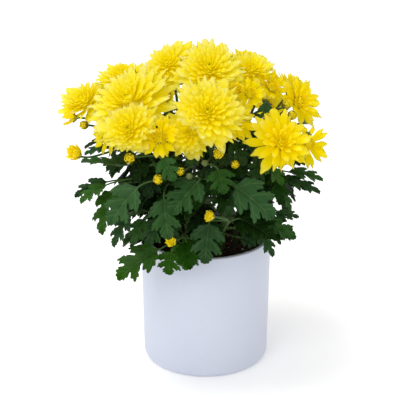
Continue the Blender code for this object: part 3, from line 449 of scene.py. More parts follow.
# The light and the camera. Lights have a place, a diameter and a power, and point at this height.
SOFT_LIGHTS = (("left", (-0.7, 0.0, 2.4), 1.2, 26), ("front", (-1.0, -1.8, 1.6), 1.5, 12))
LIT_HEIGHT = 0.18
WORLD_STRENGTH = 0.80
FLOOR_COLOUR = (0.93, 0.93, 0.93)
FLOOR_GLOW = 0.17
CAMERA_PLACE = (0, -1.2321, 0.6648)
CAMERA_TURN = (68.2, 0, 0.28)
CAMERA_LENS = 116.1

# The materials of a leafy cutting, by their place in its list.
LEAF_TOP, LEAF_BACK, STALK, BRACT = range(4)

Solid = namedtuple("Solid", "points faces")


# The layout of the plant, as the plain solids have it.


def direction(azimuth, rise):
    """The unit vector that points at an azimuth and rises above the horizon, both in degrees."""
    a, e = math.radians(azimuth), math.radians(rise)
    return Vector((math.cos(a) * math.cos(e), math.sin(a) * math.cos(e), math.sin(e)))


class Flower:
    """A flower or a bud: its seat has its origin on the stalk's end and its Z along the way that it faces."""

    def __init__(self, name, eye, azimuth, rise, diameter, kind):
        self.name, self.diameter, self.kind = name, diameter, KINDS[kind]
        self.petals = "open" if name in OPEN_BLOOMS else kind
        self.tight = kind in ("opening", "bud", "green")
        self.radius = diameter / 2 * MM
        self.cup = self.kind.cup_radius * self.radius + CUP_MARGIN
        self.facing = direction(azimuth, rise)
        foot = Vector(eye) * MM - self.facing * (self.kind.eye_height * self.radius)
        self.stalk_end = foot - self.facing * TOUCH_GAP
        turned = direction(*TURNED.get(name, (azimuth, rise)))
        self.seat = np.array(Matrix.Translation(foot) @ turned.to_track_quat("Z", "Y").to_matrix().to_4x4())


FLOWERS = {name: Flower(name, *row) for name, row in (BLOOMS | GREEN_BUDS).items()}


def bezier(a, b, c, d, count):
    """Points evenly spaced in parameter along a cubic curve, both ends included."""
    points = []
    for i in range(count):
        t = i / (count - 1)
        s = 1 - t
        points.append(a * s**3 + b * (3 * s * s * t) + c * (3 * s * t * t) + d * t**3)
    return points


def along(points, share):
    """The point at a share of a polyline's list of points."""
    place = share * (len(points) - 1)
    i = min(int(place), len(points) - 2)
    return points[i].lerp(points[i + 1], place - i)


def thinned(line, count):
    """count points of a finely drawn line, both ends included."""
    return [along(line, i / (count - 1)) for i in range(count)]


def tube(line, radii, sides):
    """A closed tube round a polyline, with a flat cap at each end."""
    across = (line[1] - line[0]).orthogonal().normalized()
    points = []
    for i, point in enumerate(line):
        tangent = (line[min(i + 1, len(line) - 1)] - line[max(i - 1, 0)]).normalized()
        across = (across - tangent * across.dot(tangent)).normalized()
        other = tangent.cross(across)
        for k in range(sides):
            a = 2 * math.pi * k / sides
            points.append(point + (across * math.cos(a) + other * math.sin(a)) * radii[i])
    top = len(points) - sides
    faces = [tuple(reversed(range(sides)))]
    for low in range(0, top, sides):
        for k in range(sides):
            n = (k + 1) % sides
            faces.append((low + k, low + n, low + sides + n, low + sides + k))
    faces.append(tuple(range(top, top + sides)))
    return Solid(points, faces)


def cutting_foot(name):
    return direction(CUTTINGS[name], 0) * CUTTING_CIRCLE


def stem_node(cutting):
    return "leafy_stem_" + cutting


def soil_level():
    return POT_HEIGHT - SOIL_DROP


def stem_line(name):
    """A cutting's own stem, from its cut end in the soil to where the shoots leave it."""
    foot = cutting_foot(name)
    lean = direction(CUTTINGS[name], 0) * STEM_LEAN
    heights = (soil_level() - CUTTING_DEPTH, soil_level() + 4 * MM, soil_level() + 22 * MM, FORK_HEIGHT)
    return [foot + lean * share + Vector((0, 0, height)) for share, height in zip((0, 0, 0.3, 1), heights)]


def shoot_line(shoot, count=6):
    """A shoot's line from its cutting's stem to its first flower. Each leaves lower than the one before."""
    earlier = [other for other in SHOOTS[:SHOOTS.index(shoot)] if other.cutting == shoot.cutting]
    flower = FLOWERS[shoot.terminal]
    end = flower.stalk_end
    low, high = stem_line(shoot.cutting)[-2:]
    start = high.lerp(low, (4 * MM + len(earlier) * SHOOT_SPACING) / (high - low).length)
    reach = (end - start).length
    outward = Vector((end.x - start.x, end.y - start.y, 0)) * 0.36
    rise = Vector((0, 0, 0.30 * reach))
    return bezier(start, start + outward + rise, end - flower.facing * (0.40 * reach), end, count)


def side_line(line, share, flower, count=4):
    """A side stalk's line, from a shoot to its flower."""
    start, end = along(line, share), flower.stalk_end
    ahead = (along(line, share + 0.04) - start).normalized()
    reach = (end - start).length * 0.35
    return bezier(start, start + ahead * reach, end - flower.facing * reach, end, count)


def stalk_rings(line, low, high, flower, swelling, least=0.0):
    """The points and the radii of a stalk that swells into the green cup under its flower."""
    end, swell = line[-1], 0.30 * flower.cup + 1.6 * MM
    points = [p for p in line[:-1] if (p - end).length > swell * least]
    radii = [low + (high - low) * i / (len(line) - 1) for i in range(len(points))]
    for back, share in swelling:
        points.append(end - flower.facing * (swell * back))
        radii.append(high + (flower.cup - high) * share)
    return points, radii


def unit(v):
    return v / np.linalg.norm(v, axis=-1, keepdims=True)


def leaf_frame(base, tip, roll, shares):
    """Where a leaf's rib is at shares of its length, and the ways ahead, to its side and off its face."""
    upward = unit(unit(np.array([base[0] + tip[0], base[1] + tip[1], 0])) + [0, 0, 1])
    bend = (base + tip) / 2 + upward * (LEAF_ARCH * np.linalg.norm(tip - base))
    k = np.asarray(shares, float)[:, None]
    place = base * (1 - k) ** 2 + bend * (2 * k * (1 - k)) + tip * k**2
    ahead = unit((bend - base) * (1 - k) + (tip - bend) * k)
    face = unit(upward - ahead * (ahead @ upward)[:, None])
    angle = math.radians(roll)
    face = face * math.cos(angle) + np.cross(ahead, face) * math.sin(angle)
    return place, ahead, np.cross(ahead, face), face


def plain_leaf_faces():
    """The faces of a plain leaf with its petiole, and of its blade alone.

    The points of the blade's upper side come first: the right edge, the left edge, the rib. Those of its
    under side follow in the same order, and then the three of the petiole's foot.
    """
    edge = len(LEAF_EDGE) + 1
    m1, m2, m3, end = range(2 * edge, 2 * edge + 4)
    count = end + 1
    upper = [(0, 1, m1), (1, 2, 3), (1, 3, m1), (m1, 3, m2), (3, 4, 5), (3, 5, m2), (m2, 5, m3), (5, 6, m3),
             (6, end, m3)]
    upper += [tuple(i + edge if i < edge else i for i in reversed(f)) for f in upper]
    upper.append((0, m1, edge))
    border = [*range(edge), end, *reversed(range(edge, 2 * edge))]
    blade = upper + [tuple(i + count for i in reversed(f)) for f in upper]
    blade += [(b, a, a + count, b + count) for a, b in zip(border, border[1:])]
    a, b, c, d = 0, edge, edge + count, count
    right, left, low = range(2 * count, 2 * count + 3)
    petiole = [(a, b, left, right), (b, c, low, left), (c, d, low), (d, a, right, low), (right, left, low)]
    return blade + petiole, blade + [(a, b, c, d)]


LEAF_FACES, BLADE_FACES = plain_leaf_faces()


def plain_leaf(root, base, tip, width, roll, margin=0.0):
    """A plain lobed leaf, which only keeps the room of the fine one, and its blade alone."""
    root, base, tip = (np.array(v) for v in (root, base, tip))
    length = np.linalg.norm(tip - base)
    half = width * length / 2
    shares, outs = (np.array(column) for column in zip(*LEAF_EDGE))
    stem = [PETIOLE_WIDTH / 2 / half]
    edge, rib = np.concatenate([[0], shares]), [*LEAF_RIB_SHARES, 1]
    out = np.concatenate([stem, outs, np.negative(stem), -outs, np.zeros(len(rib))])[:, None] * half
    lift = np.concatenate([[0], LEAF_LOBE_LIFT, [0], LEAF_LOBE_LIFT, np.zeros(len(rib))])[:, None] * length
    place, _, side, face = leaf_frame(base, tip, roll, np.concatenate([edge, edge, rib]))
    middle = place + side * out + face * (LEAF_FOLD * np.abs(out) + lift)
    thick = face * (LEAF_THICKNESS / 2 + margin)
    blade = np.concatenate([middle + thick, middle - thick])
    axis = unit(base - root)
    wide = unit(side[0] - axis * (side[0] @ axis)) * (PETIOLE_WIDTH / 2)
    high = unit(np.cross(axis, wide)) * (PETIOLE_THICKNESS / 2)
    if high @ face[0] < 0:
        high = -high
    foot = [root + wide + high, root - wide + high, root - high]
    return Solid(np.concatenate([blade, foot]), LEAF_FACES), Solid(blade, BLADE_FACES)


class Bed:
    """What is already in place, so that what comes next can be bent clear of it."""

    def __init__(self):
        self.kept = []

    def add(self, owner, solid):
        self.kept.append((owner, *around(solid), tree_of(solid)))

    def near(self, solid):
        """The owners and the search trees of the kept solids that may reach a solid."""
        middle, reach = around(solid)
        for owner, centre, radius, tree in self.kept:
            if math.dist(centre, middle) <= reach + radius:
                yield owner, tree

    def crosses(self, solid, owner, own):
        """Whether a solid cuts what its owner has in place if own is true, or else what others have."""
        tree = tree_of(solid)
        return any((other == owner) == own and tree.overlap(kept) for other, kept in self.near(solid))


def around(solid):
    """The middle and the radius of a ball that holds a solid."""
    points = np.array(solid.points)
    middle = points.mean(0)
    return middle.tolist(), np.linalg.norm(points - middle, axis=1).max()


def tree_of(solid):
    return BVHTree.FromPolygons(np.array(solid.points).tolist(), solid.faces)


def leaf_ways(root, base, tip):
    """Ways to lay a leaf: as it is meant, then turned a little about its root, then shortened."""
    yield base, tip
    run = tip - root
    side = Vector((-run.y, run.x, 0)).normalized()
    for share in LEAF_SHORTENED:
        for turn, dip in LEAF_TURNS:
            spin = Matrix.Rotation(math.radians(turn), 3, "Z")
            dive = Matrix.Rotation(math.radians(dip), 3, side)
            turned_base, turned_tip = (root + spin @ (dive @ (end - root)) for end in (base, tip))
            yield turned_base, turned_base.lerp(turned_tip, share)


def clear_way(bed, owner, root, base, tip, width, roll, ways):
    """The first way to lay a leaf that is clear of everything else, or None."""
    for way in islice(leaf_ways(root, base, tip), ways):
        whole, blade = plain_leaf(root, *way, width, roll, CLEAR_GAP)
        if not bed.crosses(whole, owner, own=False) and not bed.crosses(blade, owner, own=True):
            return way
    return None


def hold_for(holds, base, tip):
    """The cutting, and the place on it, that a leaf's petiole can best come from: near, below and behind."""
    forward = ((base + tip) / 2 + Vector((0, 0, 0.1 * (tip - base).length)) - base).normalized()
    runs = [(base - place, cutting, place) for cutting, places in holds for place in places]
    runs = [row for row in runs if row[0].length >= LEAST_PETIOLE and row[0].z >= -4 * MM]
    return min(runs, key=lambda row: row[0].length * (1.7 - row[0].normalized().dot(forward)))[1:]


def rule_leaves(shoot_lines):
    """The other leaves: near the top of each shoot, lower down away from the viewer, and low on the stems."""
    rng = random.Random(LEAF_SEED)
    places = [(cutting, along(line, 0.60), 1) for cutting, line in shoot_lines]
    places += [(cutting, along(line, 0.28), 0) for cutting, line in shoot_lines if CUTTINGS[cutting] > -20]
    for cutting in CUTTINGS:
        places += [(cutting, along(stem_line(cutting), 0.80), 0)] * 2
    for number, (cutting, root, high) in enumerate(places):
        outward = math.degrees(math.atan2(root.y, root.x))
        turn = (LEAF_TURN_HIGH if high else LEAF_TURN_LOW) * rng.uniform(0.7, 1.3)
        way = outward + (turn if number % 2 else -turn)
        long = (LEAF_LENGTH_HIGH if high else LEAF_LENGTH_LOW) * rng.uniform(0.9, 1.1)
        base = root + direction(way, 26) * (15 * MM)
        tip = base + direction(way, rng.uniform(-40, -15)) * long
        yield cutting, root, base, tip, rng.uniform(0.72, 0.9), rng.uniform(-12, 12)


def filler_leaves(holds):
    """More leaves from anywhere on the shoots, longer lower down, which fill the bush out."""
    rng = random.Random(FILLER_SEED)
    for _ in range(FILLER_TRIES):
        cutting, places = rng.choice(holds)
        root = rng.choice(places)
        if root.z < soil_level() + 12 * MM or root.z > 228 * MM:
            continue
        low = min(max((235 * MM - root.z) / (90 * MM), 0), 1)
        way = math.degrees(math.atan2(root.y, root.x)) + rng.uniform(-75, 75)
        long = (30 + 18 * low) * MM * rng.uniform(0.72, 1.12)
        base = root + direction(way, rng.uniform(5, 40)) * (rng.uniform(11, 20) * MM)
        tip = base + direction(way + rng.uniform(-16, 16), rng.uniform(-58, -8)) * long
        yield cutting, root, base, tip, rng.uniform(0.70, 0.95), rng.uniform(-25, 25)


def in_bush(tip):
    """Whether a leaf's tip is inside the solids' box, off the front of the pot and within the bush."""
    over_pot = tip.y < -30 * MM and tip.z < POT_HEIGHT + 16 * MM
    low_right = tip.x > 66 * MM and tip.y < 20 * MM and tip.z < 215 * MM
    too_far = math.hypot(tip.x, tip.y) > 84 * MM + 0.35 * (tip.z - 150 * MM)
    boxed = all(low < place < high for low, place, high in zip(CAD_BOX[0], tip, CAD_BOX[1]))
    return boxed and not (over_pot or low_right or too_far)


def placed_leaves(bed, lines, side_lines):
    """Every leaf that has a clear way to lie: cutting, root, base, tip, width, roll, age."""
    holds = [(cutting, thinned(line, 25)[2:18]) for cutting, line in lines]
    holds += [(cutting, thinned(line, 13)[2:10]) for cutting, line in side_lines]
    holds += [(name, thinned(stem_line(name), 16)[6:]) for name in CUTTINGS]
    found = []

    def lay(leaf, age, ways=ALL_WAYS, fits=lambda tip: True):
        cutting, root, base, tip, width, roll = leaf
        way = clear_way(bed, stem_node(cutting), root, base, tip, width, roll, ways)
        if way and fits(way[1]):
            bed.add(stem_node(cutting), plain_leaf(root, *way, width, roll)[0])
            found.append((cutting, root, *way, width, roll, age))

    for base, tip, width, roll, age in SHOWN_LEAVES:
        base, tip = Vector(base) * MM, Vector(tip) * MM
        lay((*hold_for(holds, base, tip), base, tip, width, roll), age)
    for leaf in rule_leaves(lines):
        lay(leaf, None)
    enough = len(found) + FILLER_LEAVES
    for leaf in filler_leaves(holds):
        lay(leaf, None, FILLER_WAYS, in_bush)
        if len(found) == enough:
            break
    return found


def plane_crossing(line, origin, normal):
    """Where a line first passes a plane, or None."""
    for a, b in zip(line, line[1:]):
        da, db = (a - origin).dot(normal), (b - origin).dot(normal)
        if da <= 0 < db:
            return a.lerp(b, da / (da - db))
    return None


def tie_path(lines):
    """The closed path of the cord, tight round the outermost shoots, in a plane that dips to the right."""
    dip = Matrix.Rotation(math.radians(TIE_TILT), 3, "Y")
    along_x, along_y, normal = (dip @ Vector(axis) for axis in ((1, 0, 0), (0, 1, 0), (0, 0, 1)))
    hits = [plane_crossing(line, TIE_CENTRE, normal) for line in lines]
    flat = [((hit - TIE_CENTRE).dot(along_x), (hit - TIE_CENTRE).dot(along_y)) for hit in hits if hit]
    corners = [Vector(flat[i]) for i in convex_hull_2d(flat)]
    away = SHOOT_RADIUS * 1.25 + TIE_RADIUS + TOUCH_GAP
    loop = []
    for i, corner in enumerate(corners):
        before = (corner - corners[i - 1]).normalized()
        after = (corners[(i + 1) % len(corners)] - corner).normalized()
        for side in (before, (before + after).normalized(), after):
            loop.append(corner + Vector((side.y, -side.x)) * away)
    if sum(a.cross(b) for a, b in zip(corners, corners[1:] + corners[:1])) < 0:
        loop.reverse()
    return [TIE_CENTRE + along_x * p.x + along_y * p.y for p in loop]


# Fine meshes.


class Shape:
    """A growing mesh. Each point has a tint, which a material reads, and a place in its pattern."""

    def __init__(self):
        self.points, self.tints, self.places = [], [], []
        self.corners, self.sizes, self.slots = [], [], []
        self.count = 0

    def add(self, points, tint, place, faces, slot=0):
        """faces is a list of index arrays, one for each number of corners. slot may be one for each array."""
        self.points.append(points)
        self.tints.append(np.broadcast_to(tint, (len(points), 3)))
        self.places.append(np.broadcast_to(place, (len(points), 2)))
        slots = slot if isinstance(slot, tuple) else [slot] * len(faces)
        for group, material in zip(faces, slots):
            self.corners.append((group + self.count).ravel())
            self.sizes.append(np.full(len(group), group.shape[1]))
            self.slots.append(np.full(len(group), material))
        self.count += len(points)

    def piece(self, name, materials, *nodes, slot, sharp=None):
        """The finished object, riding on the part's body in place of its plain nodes."""
        mesh = bpy.data.meshes.new(name)
        corners, sizes = np.concatenate(self.corners), np.concatenate(self.sizes)
        mesh.vertices.add(self.count)
        mesh.vertices.foreach_set("co", np.concatenate(self.points).ravel())
        mesh.loops.add(len(corners))
        mesh.loops.foreach_set("vertex_index", corners)
        mesh.polygons.add(len(sizes))
        mesh.polygons.foreach_set("loop_start", np.cumsum(sizes) - sizes)
        mesh.polygons.foreach_set("material_index", np.concatenate(self.slots))
        mesh.update(calc_edges=True)
        colour = mesh.color_attributes.new("tint", "FLOAT_COLOR", "POINT")
        tints = np.column_stack([np.concatenate(self.tints), np.ones(self.count)])
        colour.data.foreach_set("color", tints.ravel())
        pattern = mesh.uv_layers.new(name="pattern")
        pattern.uv.foreach_set("vector", np.concatenate(self.places)[corners].ravel())
        for material in materials:
            mesh.materials.append(material)
        mesh.shade_smooth()
        if sharp:
            mesh.set_sharp_from_angle(angle=math.radians(sharp))
        obj = bpy.data.objects.new(name, mesh)
        bpy.context.scene.collection.objects.link(obj)
        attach(obj, "root")
        if nodes:
            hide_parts(*nodes)
        return obj


def grid_faces(rows, columns, around_too=False):
    """Quads over a grid of points kept row by row. They face along rows cross columns."""
    r, c = np.meshgrid(np.arange(rows - 1), np.arange(columns if around_too else columns - 1), indexing="ij")
    n = (c + 1) % columns
    corners = [r * columns + c, (r + 1) * columns + c, (r + 1) * columns + n, r * columns + n]
    return np.stack(corners, -1).reshape(-1, 4)


def sheet_faces(rows, columns):
    """A thin closed sheet: an upper grid, a lower grid after it, and the narrow faces along their edges."""
    upper = grid_faces(rows, columns)
    count = rows * columns
    index = np.arange(count).reshape(rows, columns)
    loop = np.concatenate([index[:, 0], index[-1, 1:], index[-2::-1, -1], index[0, -2:0:-1]])
    after = np.roll(loop, -1)
    edge = np.stack([after, loop, loop + count, after + count], -1)
    return np.concatenate([upper, upper[:, ::-1] + count, edge])


def ring_faces(rings, sides):
    """Quads between rings of points, and caps from the first and last ring to the two points after them."""
    count = rings * sides
    k = np.arange(sides)
    n = (k + 1) % sides
    last = count - sides
    caps = [np.stack([n, k, 0 * k + count], -1), np.stack([last + k, last + n, 0 * k + count + 1], -1)]
    return [grid_faces(rings, sides, True)[:, ::-1], np.concatenate(caps)]


def repeated(faces, copies, step):
    """The same faces for every one of some copies of their points, each of step points."""
    return (faces[None] + np.arange(copies)[:, None, None] * step).reshape(-1, faces.shape[1])


def ring(radius, height, sides):
    turns = np.arange(sides) * 2 * math.pi / sides
    return np.stack([radius * np.cos(turns), radius * np.sin(turns), 0 * turns + height], -1)


def turned_solid(shape, profile, sides, tint, seat=np.eye(4), size=1.0, slot=0):
    """A closed solid of revolution from (radius, height) pairs that start and end on the axis."""
    profile = np.array(profile) * size
    rings = [ring(radius, height, sides) for radius, height in profile[1:-1]]
    ends = [[0, 0, profile[0][1]], [0, 0, profile[-1][1]]]
    points = np.concatenate([*rings, ends]) @ seat[:3, :3].T + seat[:3, 3]
    shape.add(points, tint, MIDDLE, ring_faces(len(rings), sides), slot)


def smooth(x):
    x = np.clip(x, 0, 1)
    return x * x * (3 - 2 * x)


# Flowers.


def petal_points(p, seat, s, u):
    """Points of a flower's petals at shares s along and u across, as upper and lower arrays.

    p is a dictionary with a value for each petal: azimuth, root_radius, root_height, rise, curl, curl_power,
    length, width, channel, point, sway, twist and thickness.
    """
    p = {name: value[:, None, None] for name, value in p.items()}
    mid = (np.arange(BEND_STEPS) + 0.5)[:, None] / BEND_STEPS
    bend = np.radians(p["rise"] + p["curl"] * mid ** p["curl_power"])
    step = np.minimum((s * BEND_STEPS).astype(int), BEND_STEPS - 1)
    part = (s * BEND_STEPS - step)[:, None]
    s = s[:, None]

    def travelled(steps):
        """How far a petal has gone at each s, in its lengths, by the steps that it takes."""
        total = np.concatenate([0 * p["rise"], np.cumsum(steps, 1)], 1) / BEND_STEPS
        return total[:, step] * (1 - part) + total[:, step + 1] * part

    out = p["root_radius"] + p["length"] * travelled(np.cos(bend))
    up = p["root_height"] + p["length"] * travelled(np.sin(bend))
    angle = np.radians(p["rise"] + p["curl"] * s ** p["curl_power"])

    # The outline widens from the root and narrows to a round or a pointed tip, with a small notch in it.
    shoulder = 0.34 + 0.66 * smooth(s / 0.72)
    tip = 1 - (0.20 + 0.62 * p["point"]) * np.clip((s - 0.60) / 0.40, 0, 1) ** 1.7
    half = p["width"] / 2 * shoulder * tip
    back = -p["length"] * (0.10 + 0.19 * p["point"]) * np.abs(u) ** 1.8 * s**5
    back = back - p["length"] * 0.018 * np.exp(-((u / 0.25) ** 2)) * s**8 * (1 - p["point"])

    # Across, the petal is a channel with low ridges along it, which twists and sways towards its tip.
    ridges = 0.085 * p["width"] * np.cos(3 * np.pi * u) * (1 - 0.75 * u * u)
    ridges = ridges * smooth(s * 3) * smooth((1.06 - s) * 4)
    height = p["channel"] * half * np.abs(u) ** 1.7 * (1.15 - 0.55 * s) + ridges * 0.5
    turn = np.radians(p["twist"] * s)
    across = u * half * np.cos(turn) - height * np.sin(turn) + p["sway"] * p["length"] * s**2
    above = u * half * np.sin(turn) + height * np.cos(turn)
    thick = p["thickness"] * (1 - 0.55 * u * u) * (1 - 0.35 * s)
    a = np.radians(p["azimuth"])

    def placed(above):
        o = out + back * np.cos(angle) - above * np.sin(angle)
        z = up + back * np.sin(angle) + above * np.cos(angle)
        local = [o * np.cos(a) - across * np.sin(a), o * np.sin(a) + across * np.cos(a), z]
        return np.stack(local, -1) @ seat[:3, :3].T + seat[:3, 3]

    return placed(above), placed(above - thick)


def sheet_petals(shape, p, seat, grid, slot=0):
    """Adds every petal of p to a shape as a thin closed sheet."""
    rows, columns = grid
    s, u = np.linspace(0, 1, rows) ** 0.92, np.linspace(-1, 1, columns)
    petals, count = len(p["rise"]), rows * columns
    sheets = [side.reshape(petals, count, 3) for side in petal_points(p, seat, s, u)]
    one_s = np.tile(np.repeat(s, columns), 2 * petals)
    one_u = np.tile(u * 0.5 + 0.5, 2 * petals * rows) + np.tile(np.repeat([0.0, UNDERSIDE], count), petals)
    inward, chance = (np.repeat(p[name], 2 * count) for name in ("inward", "chance"))
    faces = repeated(sheet_faces(rows, columns), petals, 2 * count)
    shape.add(np.concatenate(sheets, 1).reshape(-1, 3), np.column_stack([one_s, inward, chance]),
              np.column_stack([one_u, one_s]), [faces], slot)


def flower_petals(flower, rng):
    """Every petal's numbers, from the outside in, in a spiral."""
    count = int(PETALS_PER_MM[flower.petals] * flower.diameter)
    inward = np.linspace(0, 1, count)
    keys = np.array(PETAL_KEYS[flower.petals])
    p = {field: np.interp(inward, keys[:, 0], keys[:, i]) for i, field in enumerate(Key._fields)}
    p["inward"] = inward
    calm = 0.4 if flower.tight else 1.0
    for field in ("root_radius", "root_height", "length"):
        p[field] *= flower.radius
    p["length"] *= LENGTHENED[flower.petals]
    p["width"] *= flower.radius if flower.tight else math.sqrt(flower.radius * WIDTH_SIZE)
    p["azimuth"] = np.arange(count) * GOLDEN_ANGLE + rng.normal(0, 2.5 * calm, count) + rng.uniform(0, 360)
    p["rise"] += rng.normal(0, 3.0 * calm, count)
    seen = picture_angle(flower, p["azimuth"])
    for angle, spread, share, lift in REACHES.get(flower.name, ()):
        apart = (seen - angle + 180) % 360 - 180
        weight = np.exp(-((apart / spread) ** 2)) * (1 - inward) ** 0.5
        p["length"] *= 1 + (share - 1) * weight
        p["rise"] += lift * weight
    p["curl"] += rng.normal(0, 5 * calm, count)
    p["length"] *= rng.uniform(1 - 0.13 * calm, 1 + 0.10 * calm, count)
    p["width"] *= rng.uniform(1 - 0.14 * calm, 1 + 0.12 * calm, count)
    p["channel"] *= rng.uniform(0.6, 1.5, count)
    p["point"] = np.clip(rng.normal(0.60, 0.24, count) - 0.42 * smooth(inward / 0.50), 0, 1)
    p["sway"] = rng.normal(0, 0.035 * calm, count)
    p["twist"] = rng.normal(0, 9 * calm, count)
    p["chance"] = rng.uniform(0.02, 0.48, count) + (0 if flower.petals == "full" else DEEP)
    p["curl_power"] = np.full(count, 1.0 if flower.tight else 1.5)
    p["thickness"] = np.full(count, PETAL_THICKNESS)
    return p


def picture_angle(flower, azimuth):
    """Which way petals at an azimuth of their flower point, as the viewer sees them."""
    a = np.radians(azimuth)
    out = np.stack([np.cos(a), np.sin(a)]).T @ flower.seat[:3, :2].T
    return np.degrees(np.arctan2(out @ np.array(PICTURE_UP), out @ np.array(PICTURE_RIGHT)))


def chosen(p, keep):
    return {name: value[keep] for name, value in p.items()}


def coarse_petals(p, seat):
    """A few points on each petal, which are enough to tell whether it cuts another."""
    upper, _ = petal_points(p, seat, np.array(COARSE_ALONG), np.array(COARSE_ACROSS))
    return upper.reshape(len(upper), -1, 3)


COARSE_FACES = grid_faces(len(COARSE_ALONG), len(COARSE_ACROSS))


def clear_petals(p, seat, near):
    """Each petal laid the first way that cuts no flower near it. One with no such way is dropped."""
    p = dict(p)
    rise, length = p["rise"], p["length"]
    waiting = np.ones(len(rise), bool)
    quads = COARSE_FACES.tolist()
    for lift, share in PETAL_WAYS:
        p["rise"] = np.where(waiting, rise + lift, p["rise"])
        p["length"] = np.where(waiting, length * share, p["length"])
        places = np.nonzero(waiting)[0]
        for i, points in zip(places, coarse_petals(chosen(p, places), seat)):
            petal = BVHTree.FromPolygons(points.tolist(), quads)
            waiting[i] = any(petal.overlap(tree) for tree in near)
        if not waiting.any():
            break
    return chosen(p, ~waiting)


def petal_solid(p, seat):
    """All of a flower's petals, coarsely, for what is placed after them."""
    points = coarse_petals(p, seat)
    return Solid(points.reshape(-1, 3), repeated(COARSE_FACES, len(points), points.shape[1]).tolist())


def grow_bloom(flower, bed, rng):
    """One flower: a small core and its petals, bent clear of the flowers before it."""
    seat = flower.seat
    p = flower_petals(flower, rng)
    closed = flower.petals == "bud"
    if not closed:
        p = clear_petals(p, seat, [tree for _, tree in bed.near(petal_solid(p, seat))])
    bed.add(flower.name, petal_solid(p, seat))
    shape = Shape()
    # A bud's core carries the mark of painted shade, so that it shows dark brown between its petals.
    tint = (0.6, PAINTED_SHADE_MARK if closed else 0.8, 0.2)
    turned_solid(shape, CORES[flower.petals], CORE_SIDES, tint, seat, flower.radius)
    inner = (p["inward"] > INNER_FROM) & (not flower.tight)
    sheet_petals(shape, chosen(p, ~inner), seat, PETAL_GRID)
    sheet_petals(shape, chosen(p, inner), seat, INNER_PETAL_GRID)
    return shape


# Leaves.


def leaf_plan(seed):
    """A flat leaf, with every tooth a little different.

    Its points as (share, out) pairs, its triangles, its open edges, and how far each point is from the rib
    and from the nearest side vein, in leaf lengths.
    """
    rng = random.Random(seed)
    edges = []
    for mirror in (1, -1):
        half = [(s + rng.uniform(-0.008, 0.008), w * rng.uniform(0.95, 1.04)) for s, w in FINE_EDGE]
        rounded = [(a[0] * (1 - t) + b[0] * t, (a[1] * (1 - t) + b[1] * t) * mirror)
                   for a, b in zip(half, half[1:]) for t in (0.18, 0.82)]
        edges.append([(0.0, 0.035 * mirror)] + rounded)
    outline = edges[0] + [(1.0, 0.0)] + edges[1][::-1]
    flat = [Vector((w * LEAF_ASPECT, s)) for s, w in outline]
    count = len(flat)
    rib = [Vector((0, s)) for s in np.linspace(0.03, 0.965, 18)]
    constraints = [(i, (i + 1) % count) for i in range(count)]
    constraints += [(count + i, count + i + 1) for i in range(len(rib) - 1)]
    fixed = flat + rib
    for (s0, w0), (s1, w1) in SIDE_VEINS:
        steps = max(3, int(math.hypot(s1 - s0, (w1 - w0) * LEAF_ASPECT) / 0.05))
        for mirror in (1, -1):
            for k in range(1, steps):
                t = k / steps
                fixed.append(Vector(((w0 + (w1 - w0) * t) * LEAF_ASPECT * mirror, s0 + (s1 - s0) * t)))
    row_height = LEAF_GRID * 0.866
    free = []
    for r in range(int(1 / row_height) + 1):
        for c in range(-8, 9):
            q = Vector(((c + 0.5 * (r % 2)) * LEAF_GRID, r * row_height))
            if inside(q, flat) and min((q - f).length for f in fixed) > 0.6 * LEAF_GRID:
                free.append(q)
    points, _, faces, *_ = delaunay_2d_cdt(fixed + free, constraints, [list(range(count))], 2, 1e-6)
    plan = np.array([(q.y, q.x / LEAF_ASPECT) for q in points])
    faces = np.array([f for f in faces if len(f) == 3])
    a, b, c = (plan[faces[:, i], ::-1] for i in range(3))
    turn = np.cross(b - a, c - a)
    faces[turn < 0] = faces[turn < 0][:, ::-1]
    faces = faces[np.abs(turn) > 1e-9]
    return plan, faces, open_edges(faces), *vein_distances(plan)


def inside(q, outline):
    """Whether a flat point is inside a closed outline."""
    odd = False
    for a, b in zip(outline, outline[1:] + outline[:1]):
        if (a.y > q.y) != (b.y > q.y) and q.x < a.x + (b.x - a.x) * (q.y - a.y) / (b.y - a.y):
            odd = not odd
    return odd


def open_edges(faces):
    """The directed edges that only one triangle has."""
    pairs = {(a, b) for f in faces.tolist() for a, b in zip(f, f[1:] + f[:1])}
    return np.array([(a, b) for a, b in pairs if (b, a) not in pairs])


def vein_distances(plan):
    """How far each point of a plan is from the rib, and from the nearest side vein, in leaf lengths."""
    here = np.column_stack([plan[:, 0], np.abs(plan[:, 1]) * LEAF_ASPECT])
    gaps = []
    for vein in SIDE_VEINS:
        start, end = np.array(vein) * (1, LEAF_ASPECT)
        run = end - start
        t = np.clip((here - start) @ run / (run @ run), 0, 1)
        gaps.append(np.linalg.norm(here - start - t[:, None] * run, axis=1))
    return here[:, 1], np.min(gaps, 0)


